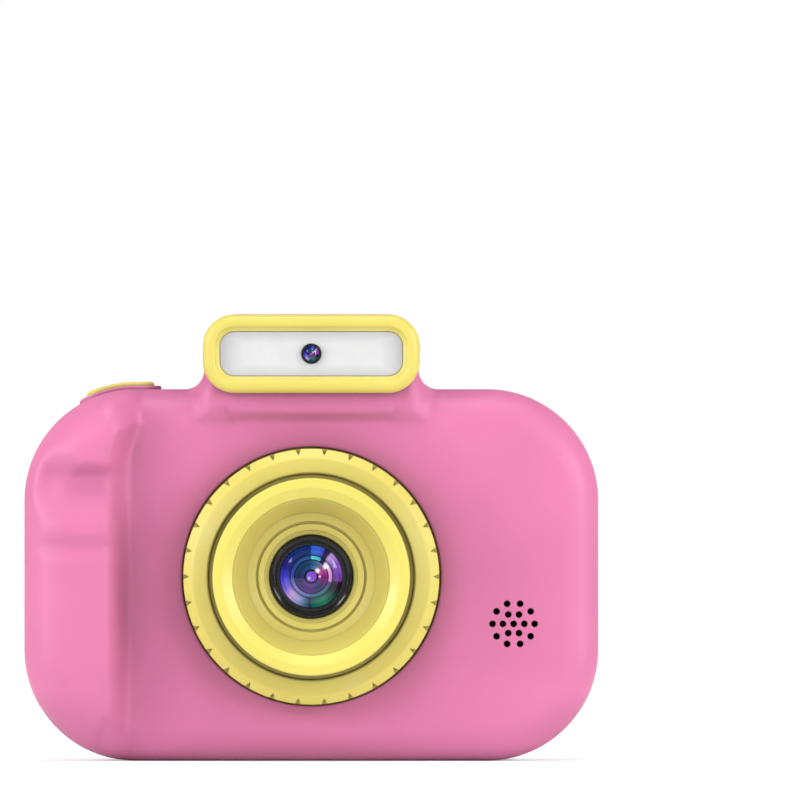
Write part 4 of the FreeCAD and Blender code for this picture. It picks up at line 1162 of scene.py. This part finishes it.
def coated_glass_painted_reflections(name, centre_z, radius):
    """Coated optic with painted reflections: sectors of colour round the axis, dark element edges
    and small painted glints.
    """
    shader = Shader(name)
    position = shader.coords()
    xyz = shader.separate(position)
    x = shader.math("DIVIDE", xyz["X"], radius * MM)
    z = shader.offset(xyz["Z"], centre_z * MM, radius * MM)
    reach = shader.length(x, z)
    wobble = shader.noise(position, scale=1300.0 / radius, detail=2.0)
    shift = shader.math("MULTIPLY", shader.math("SUBTRACT", wobble, 0.5), 0.03)
    turn = shader.math("DIVIDE", shader.math("ARCTAN2", z, x), 2 * math.pi)
    turn = shader.math("ADD", turn, shader.math("ADD", shift, 1.0))
    turn = shader.math("FRACT", turn)
    outer, middle, inner = (
        shader.ramp(turn, [(degrees / 360.0, from_srgb(color)) for degrees, *color in sectors])
        for sectors in (OUTER_SECTORS, MIDDLE_SECTORS, INNER_SECTORS))
    outside_inner = shader.rise(reach, 0.545, 0.550)
    outside_middle = shader.rise(reach, 0.680, 0.690)
    tint = shader.mix(outside_inner, inner, middle)
    tint = shader.mix(outside_middle, tint, outer)
    tint = shader.mix(1.0, tint, shader.ramp(reach, greys(GLASS_SHADE)), "MULTIPLY")
    tint = shader.mix(shader.fall(reach, 0.155, 0.172), tint, from_srgb((132, 78, 206)))
    for glint_x, glint_z, full, faded, color, strength in GLINTS:
        distance = shader.length(shader.math("SUBTRACT", x, glint_x),
                                 shader.math("SUBTRACT", z, glint_z))
        share = shader.math("MULTIPLY", shader.fall(distance, full, faded), strength)
        tint = shader.mix(share, tint, color)
    # the tint also glows as emission: painted light
    shader.set(Base_Color=shader.mix(0.75, tint, (0, 0, 0)),
               Roughness=shader.remap(wobble, 0.04, 0.10),
               Emission_Color=tint,
               Emission_Strength=0.8,
               Coat_Weight=0.25,
               Coat_Roughness=0.03,
               Specular_IOR_Level=0.4)
    return shader.material


def clear_plate():
    """Clear plate with faint smears and a reflection that grows at grazing angles."""
    shader = Shader("clear_plate", principled=False)
    smears = shader.noise(shader.coords(), scale=90.0)
    clear = shader.node("BsdfTransparent", Color=(0.985, 0.985, 0.99))
    shine = shader.node("BsdfGlossy", Roughness=shader.remap(smears, 0.05, 0.10))
    fresnel = shader.node("Fresnel", IOR=1.35)
    # only the outer side shines: seen from inside, the term would turn into total reflection
    backfacing = shader.node("NewGeometry").outputs["Backfacing"]
    outer = shader.math("SUBTRACT", 1.0, backfacing)
    share = shader.math("MULTIPLY", fresnel.outputs[0], shader.remap(smears, 0.50, 0.66))
    mixed = shader.node("MixShader", Fac=shader.math("MULTIPLY", share, outer))
    shader.feed(mixed.inputs[1], clear.outputs[0])
    shader.feed(mixed.inputs[2], shine.outputs[0])
    shader.feed(shader.output.inputs[0], mixed.outputs[0])
    return shader.material


def panel_ink():
    shader = Shader("panel_black")
    position = shader.coords()
    patches = shader.noise(position, scale=60.0)
    grains = shader.noise(position, scale=1500.0, detail=1.0)
    tint = shader.mix(shader.rise(patches), (0.0045, 0.0045, 0.005), (0.0065, 0.0065, 0.007))
    shader.set(Base_Color=tint, Roughness=shader.remap(patches, 0.10, 0.17),
               Specular_IOR_Level=0.12)
    shader.bump(grains, strength=0.01, distance=0.0001)
    return shader.material


# Balloons in shares of the picture: (u, v, half width, half height, colour)
BALLOONS = (
    (0.325, 0.872, 0.078, 0.128, (0.35, 0.85, 0.66)),
    (0.52, 0.965, 0.082, 0.13, (0.92, 0.16, 0.55)),
    (0.615, 0.69, 0.098, 0.155, (0.98, 0.78, 0.05)),
    (0.74, 0.80, 0.080, 0.13, (0.50, 0.82, 0.06)),
    (0.965, 0.92, 0.088, 0.135, (0.98, 0.42, 0.03)),
)


def screen_picture():
    """Party picture on the screen: balloons on strings over a white ground, with confetti."""
    shader = Shader("screen_picture")
    position = shader.coords()
    xyz = shader.separate(position)
    # u runs left to right as seen from behind, v bottom to top, both 0 to 1; metres
    screen_x, screen_width = 0.03577, 0.0627
    screen_z, screen_height = 0.01055, 0.0417
    u = shader.offset(screen_x, xyz["X"], screen_width)
    v = shader.offset(xyz["Z"], screen_z, screen_height)
    tint = shader.mix(shader.rise(v, 0.0, 0.5), (0.86, 0.84, 0.88), (1.0, 1.0, 1.0))

    def ellipse(centre_u, centre_v, half_u, half_v, soft):
        """Distance from the centre, 1 at the rim, and the mask of the inside."""
        distance = shader.length(shader.offset(u, centre_u, half_u),
                                 shader.offset(v, centre_v, half_v))
        return distance, shader.fall(distance, 1.0 - soft, 1.0 + soft)

    def string(centre_u, bottom, top, phase):
        wave = shader.math("ADD", shader.math("MULTIPLY", v, 14.0), phase)
        sway = shader.math("MULTIPLY", shader.math("SINE", wave), 0.006)
        line = shader.math("ADD", centre_u, sway)
        distance = shader.math("ABSOLUTE", shader.math("SUBTRACT", u, line))
        across = shader.fall(distance, 0.0012, 0.0024)
        lower = shader.rise(v, bottom, bottom + 0.02)
        upper = shader.fall(v, top - 0.01, top)
        return shader.math("MULTIPLY", across, shader.math("MULTIPLY", lower, upper))

    for i, (centre_u, centre_v, _, half_v, color) in enumerate(BALLOONS):
        mask = string(centre_u, 0.0 if i % 2 else 0.1, centre_v - half_v, i * 1.7)
        tint = shader.mix(mask, tint, scaled(color, 0.6))
    for centre_u, centre_v, half_u, half_v, color in BALLOONS:
        _, knot = ellipse(centre_u, centre_v - half_v * 1.04, half_u * 0.13, half_v * 0.09, 0.1)
        tint = shader.mix(knot, tint, scaled(color, 0.8))
        distance, mask = ellipse(centre_u, centre_v, half_u, half_v, 0.03)
        body = shader.mix(shader.rise(distance, 0.0, 1.0), paler(color, 0.28),
                          scaled(color, 0.82))
        _, shine = ellipse(centre_u - half_u * 0.35, centre_v + half_v * 0.4, half_u * 0.22,
                           half_v * 0.16, 0.5)
        body = shader.mix(shader.math("MULTIPLY", shine, 0.8), body, (1, 1, 1))
        tint = shader.mix(mask, tint, body)
    # confetti scattered over the lower part
    cells = shader.node("TexVoronoi", Scale=420.0, Vector=position).outputs
    dots = shader.fall(cells["Distance"], 0.16, 0.20)
    low = shader.fall(v, 0.10, 0.34)
    keep = shader.rise(shader.noise(position, scale=420.0, detail=0.0), 0.50, 0.52)
    vivid = shader.node("HueSaturation", Saturation=1.6, Color=cells["Color"]).outputs[0]
    share = shader.math("MULTIPLY", shader.math("MULTIPLY", dots, low), keep)
    tint = shader.mix(share, tint, vivid)
    # dark border round the picture area
    from_centre = [shader.math("ABSOLUTE", shader.math("SUBTRACT", axis, 0.5))
                   for axis in (u, v)]
    border = shader.rise(shader.math("MAXIMUM", *from_centre), 0.503, 0.505)
    tint = shader.mix(border, tint, (0.008, 0.008, 0.009))
    grain = shader.noise(position, scale=2500.0, detail=0.0)
    shader.set(Base_Color=tint, Emission_Color=tint, Emission_Strength=0.55,
               Roughness=shader.remap(grain, 0.2, 0.26))
    return shader.material


def rear_optic():
    """Small rear lens: one half has a painted violet-grey gleam, the other is black, with rings
    round a dim green pupil; the tint also glows a little, painted light."""
    shader = Shader("rear_optic")
    position = shader.node("NewGeometry").outputs["Position"]
    xyz = shader.separate(position)
    u = shader.offset(0.0, xyz["X"], REAR_LENS_RADIUS * MM)
    v = shader.offset(xyz["Z"], REAR_LENS_Z * MM, REAR_LENS_RADIUS * MM)
    reach = shader.length(u, v)
    smears = shader.noise(position, scale=900.0, detail=2.0)
    # painted reflection: the gleam grows lighter towards the top
    height = shader.math("ADD", v, shader.math("MULTIPLY", smears, 0.2))
    gleam = shader.mix(shader.rise(height, -0.7, 0.9), (0.055, 0.052, 0.075),
                       (0.17, 0.155, 0.22))
    tint = shader.mix(shader.fall(u, -0.02, 0.03), (0.004, 0.004, 0.005), gleam)
    tint = shader.mix(shader.rise(reach, 0.78, 1.0), tint, (0.012, 0.012, 0.014))
    for radius, color in ((0.42, (0.075, 0.085, 0.085)), (0.28, (0.05, 0.07, 0.065))):
        distance = shader.math("ABSOLUTE", shader.math("SUBTRACT", reach, radius))
        tint = shader.mix(shader.remap(distance, 0.8, 0.0, 0.0, 0.05), tint, color)
    tint = shader.mix(shader.fall(reach, 0.14, 0.24), tint, (0.08, 0.20, 0.10))
    shader.set(Base_Color=tint, Emission_Color=tint, Emission_Strength=0.35,
               Roughness=shader.remap(smears, 0.16, 0.24), Specular_IOR_Level=0.12)
    return shader.material


YELLOW = (0.93, 0.785, 0.17)
YELLOW_SHADOW = (0.30, 0.255, 0.085)
YELLOW_BOUNCE = (0.6, 0.56, 0.36)
# painted shade on the barrel and the focus ring: (distance from the lens axis in mm, factor)
BARREL_PAINTED_SHADE = [(6.9, 0.80), (7.9, 0.84), (8.4, 0.89), (9.1, 0.89), (9.5, 0.83), (10.7, 0.82),
                (11.0, 0.765), (12.6, 0.77), (13.3, 0.82)]
FOCUS_PAINTED_SHADE = [(17.5, 0.77), (18.3, 0.80), (20.0, 0.84), (20.4, 0.97)]

pink = plastic("pink_plastic", (0.86, 0.228, 0.455), roughness=0.44, wear=0.03,
               painted_shade=(0.30, 0.09, 0.17), reach=0.0125, depth=0.92, bounce=(0.52, 0.33, 0.40))
yellow = plastic("yellow_plastic", YELLOW, roughness=0.34, wear=0.12, painted_shade=YELLOW_SHADOW,
                 reach=0.003, bounce=YELLOW_BOUNCE)
# brighter copy of the yellow for the flat front ring: painted light
lit_front_yellow = plastic("yellow_front_lit_plastic", (0.965, 0.845, 0.17), roughness=0.32, wear=0.12,
                       painted_shade=(0.34, 0.29, 0.10), reach=0.003, bounce=YELLOW_BOUNCE)
# the barrel and focus ring copies of the yellow carry painted shade by radius
barrel_yellow = plastic("yellow_barrel_plastic", YELLOW, painted_shade=(0.46, 0.385, 0.115),
                        reach=0.0025, bounce=YELLOW_BOUNCE, radial_shade=BARREL_PAINTED_SHADE)
focus_yellow = plastic("yellow_focus_plastic", YELLOW, roughness=0.36, wear=0.14,
                       painted_shade=YELLOW_SHADOW, reach=0.003, bounce=YELLOW_BOUNCE,
                       radial_shade=FOCUS_PAINTED_SHADE)
key_yellow = plastic("yellow_key_plastic", (0.795, 0.65, 0.118), roughness=0.40, wear=0.18,
                     painted_shade=(0.20, 0.16, 0.05), reach=0.0012)
# darker yellow for the icons' engraved floors: painted shade
icon_painted_shade = plastic("icon_painted_shade", (0.53, 0.44, 0.09), roughness=0.5, wear=0.0,
                     painted_shade=(0.085, 0.07, 0.02), reach=0.0005, depth=0.95)
black = plastic("black_plastic", (0.012, 0.012, 0.013), roughness=0.28, wear=0.04)
black_gloss = plastic("black_gloss", (0.010, 0.010, 0.011), roughness=0.12, bump=0.015, wear=0.03)
dark = plastic("dark_plastic", (0.02, 0.02, 0.021), roughness=0.5, wear=0.05)
white = plastic("white_plastic", (0.8, 0.8, 0.77), roughness=0.4)
foam = plastic("foam", (0.025, 0.025, 0.027), roughness=0.85, grain=2200, bump=0.5, wear=0.0)
steel = metal("pressed_steel", (0.62, 0.62, 0.64))
screw_steel = metal("screw_steel", (0.5, 0.5, 0.52), roughness=0.3)
cell_foil = metal("cell_foil", (0.74, 0.75, 0.77), roughness=0.4)
board = circuit()
ribbon = plastic("ribbon_film", (0.45, 0.20, 0.03), roughness=0.3)
wire = plastic("wire_jacket", (0.55, 0.02, 0.02), roughness=0.4)
led = plastic("led_resin", (0.9, 0.85, 0.3), roughness=0.25)
diffuser = milky_cover()
optic = coated_glass_painted_reflections("coated_optic_painted_reflections", LENS_Z, FRONT_GLASS_RADIUS)
small_optic = coated_glass_painted_reflections("coated_small_optic_painted_reflections", POD_Z, POD_LENS_RADIUS)
clear_panel = clear_plate()
ink = panel_ink()
screen = screen_picture()
smoked = plastic("smoked_window", (0.022, 0.014, 0.016), roughness=0.10, bump=0.01, wear=0.02)
rear_lens_glass = rear_optic()


# ---------------------------------------------------------------------------------------------
# Pieces onto the frame
# ---------------------------------------------------------------------------------------------
def paint(piece, material):
    piece.data.materials.clear()
    piece.data.materials.append(material)


# node, body it rides on, material, slot
PLACES = [
    ("front_shell", "casing", pink, "pink_shell"),
    ("back_shell", "casing", pink, "pink_shell"),
    ("shutter_bezel", "casing", pink, "pink_shell"),
    ("focus_ring", "lens_ring", focus_yellow, "yellow_trim"),
    ("front_ring", "casing", lit_front_yellow, "yellow_trim"),
    ("lens_barrel", "casing", barrel_yellow, "yellow_trim"),
    ("pod_bezel", "casing", yellow, "yellow_trim"),
    ("shutter_cap", "shutter_button", yellow, "yellow_trim"),
    ("lens_mount", "casing", black_gloss, "black_plastic"),
    ("lens_retainer", "casing", black, "black_plastic"),
    ("lens_base", "casing", yellow, "yellow_trim"),
    ("lens_iris", "casing", dark, "black_plastic"),
    ("front_glass", "casing", optic, "glass"),
    ("rear_glass", "casing", optic, "glass"),
    ("pod_lens_ring", "casing", black_gloss, "black_plastic"),
    ("pod_lens", "casing", small_optic, "glass"),
    ("flash_window", "casing", diffuser, "diffuser"),
    ("rear_window", "casing", smoked, "black_plastic"),
    ("back_panel", "casing", clear_panel, "panel_clear"),
]
PLACES += [("key_" + name, name + "_button", key_yellow, "yellow_trim") for name in KEYS]

for node, body, material, slot in PLACES:
    paint(skins[node], material)
    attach(skins[node], body)
    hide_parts(node)


def shade_icon_floor(name):
    """Gives the faces at the bottom of a key's icon the darker icon material, painted shade in the
    engraving.
    """
    half_size = 0.0022
    lowest, highest = 0.01395, 0.01428
    x, z = KEYS[name][0] * MM, KEYS[name][1] * MM
    mesh = skins["key_" + name].data
    mesh.materials.append(icon_painted_shade)
    for face in mesh.polygons:
        centre = face.center
        near = abs(centre.x - x) < half_size and abs(centre.z - z) < half_size
        if near and lowest < centre.y < highest:
            face.material_index = 1


for key_name in KEYS:
    shade_icon_floor(key_name)

# faces that look along Y keep their own normal, so that glossy plates reflect without facets
for node in ["back_panel", "flash_window", "rear_window"] + ["key_" + name for name in KEYS]:
    for face in skins[node].data.polygons:
        if abs(face.normal.y) > 0.99995:
            face.use_smooth = False

# materials of the frame's own pieces
NODE_GROUPS = [
    (screw_steel, ["case_screws", "lens_screws"]),
    (foam, ["panel_adhesive", "speaker_gasket"]),
    (ink, ["panel_mask"]),
    (screen, ["lcd_module"]),
    (steel, ["lcd_tray", "usb_socket", "card_socket"]),
    (ribbon, ["lcd_flex", "camera_flex", "pod_link"]),
    (board, ["main_board", "flash_board", "pod_board", "shutter_board"]),
    (dark, ["board_parts", "reset_switch", "key_switches", "speaker", "camera_module",
            "pod_camera", "rear_camera", "shutter_switch"]),
    (black, ["memory_card"]),
    (cell_foil, ["battery"]),
    (wire, ["battery_leads", "speaker_leads"]),
    (led, ["flash_leds"]),
    (rear_lens_glass, ["rear_lens"]),
    (white, ["shutter_plunger"] + ["plunger_" + name for name in KEYS]),
]
node_materials = {node: material for material, nodes in NODE_GROUPS for node in nodes}
FLAT_NODES = ("panel_mask", "lcd_module", "panel_adhesive", "lcd_tray")

for node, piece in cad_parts.items():
    if node in node_materials:
        paint(piece, node_materials[node])
    if node in FLAT_NODES:
        attributes = piece.data.attributes
        if "custom_normal" in attributes:
            attributes.remove(attributes["custom_normal"])
        for face in piece.data.polygons:
            face.use_smooth = False


# ---------------------------------------------------------------------------------------------
# Floor, lights, world and camera
# ---------------------------------------------------------------------------------------------
def build_floor():
    """Round pale table top, brighter to the camera than to the object."""
    angles = full_turn(96)
    rings = [ring(radius * np.cos(angles), radius * np.sin(angles), -0.03)
             for radius in (0.02, 60.0, 160.0, 320.0, 600.0)]
    floor = new_object("floor", join_rings(rings, cap_start=True))
    shader = Shader("paper")
    patches = shader.noise(shader.coords(), scale=12.0, detail=2.0)
    camera_ray = shader.node("LightPath").outputs["Is Camera Ray"]
    shader.set(Base_Color=shader.mix(shader.rise(patches), (0.90, 0.90, 0.905),
                                     (0.92, 0.92, 0.92)),
               Roughness=0.9,
               Specular_IOR_Level=0.1,
               Emission_Color=(1, 1, 1),
               Emission_Strength=shader.math("MULTIPLY", camera_ray, 0.42))
    paint(floor, shader.material)


def area_light(name, location, size, power, target_z=0.035, glossy=True):
    """Rectangular light aimed at a point on the Z axis."""
    light = bpy.data.lights.new(name, "AREA")
    light.shape = "RECTANGLE"
    light.size, light.size_y = size
    light.energy = power
    lamp = bpy.data.objects.new(name, light)
    lamp.location = location
    direction = Vector((0, 0, target_z)) - Vector(location)
    lamp.rotation_euler = direction.to_track_quat("-Z", "Y").to_euler()
    bpy.context.scene.collection.objects.link(lamp)
    lamp.visible_glossy = glossy


def build_world():
    """White to the camera, dimmer as a light."""
    world = bpy.data.worlds.new("studio")
    bpy.context.scene.world = world
    world.use_nodes = True
    tree = world.node_tree
    background = tree.nodes["Background"]
    background.inputs[0].default_value = (1, 1, 1, 1)
    rays = tree.nodes.new("ShaderNodeLightPath")
    level = tree.nodes.new("ShaderNodeMapRange")
    level.inputs["To Min"].default_value = 0.27
    level.inputs["To Max"].default_value = 1.0
    tree.links.new(rays.outputs["Is Camera Ray"], level.inputs["Value"])
    tree.links.new(level.outputs["Result"], background.inputs[1])


def build_camera():
    """Long lens looking along +Y, far enough away to see view_width at the origin."""
    view_width = 0.1371
    data = bpy.data.cameras.new("camera")
    data.lens = 900.0
    data.sensor_width = 36.0
    data.clip_start = 0.01
    data.clip_end = 12.0
    camera = bpy.data.objects.new("camera", data)
    camera.location = (0.01512, -view_width * data.lens / data.sensor_width, 0.06166)
    camera.rotation_euler = (math.radians(90), 0, 0)
    bpy.context.scene.collection.objects.link(camera)
    bpy.context.scene.camera = camera


build_floor()
area_light("key_left", location=(-0.88, -0.40, 0.30), size=(0.35, 0.6), power=3.75)
area_light("key_right", location=(0.88, -0.42, 0.26), size=(0.35, 0.6), power=3.55)
area_light("front_left", location=(-0.60, -0.85, 0.50), size=(0.25, 0.25), power=1.38)
area_light("front_right", location=(0.62, -0.85, 0.36), size=(0.25, 0.25), power=1.32)
area_light("top", location=(0.0, -0.25, 0.85), size=(0.6, 0.4), power=2.4, target_z=0.03)
# these two are named as seen from behind
area_light("back_left", location=(0.55, 0.95, 0.45), size=(0.5, 0.5), power=3.7, glossy=False)
area_light("back_right", location=(-0.60, 0.90, 0.40), size=(0.5, 0.5), power=3.7, glossy=False)
build_world()
build_camera()
bpy.context.scene.view_settings.view_transform = "Standard"
bpy.context.scene.view_settings.look = "None"
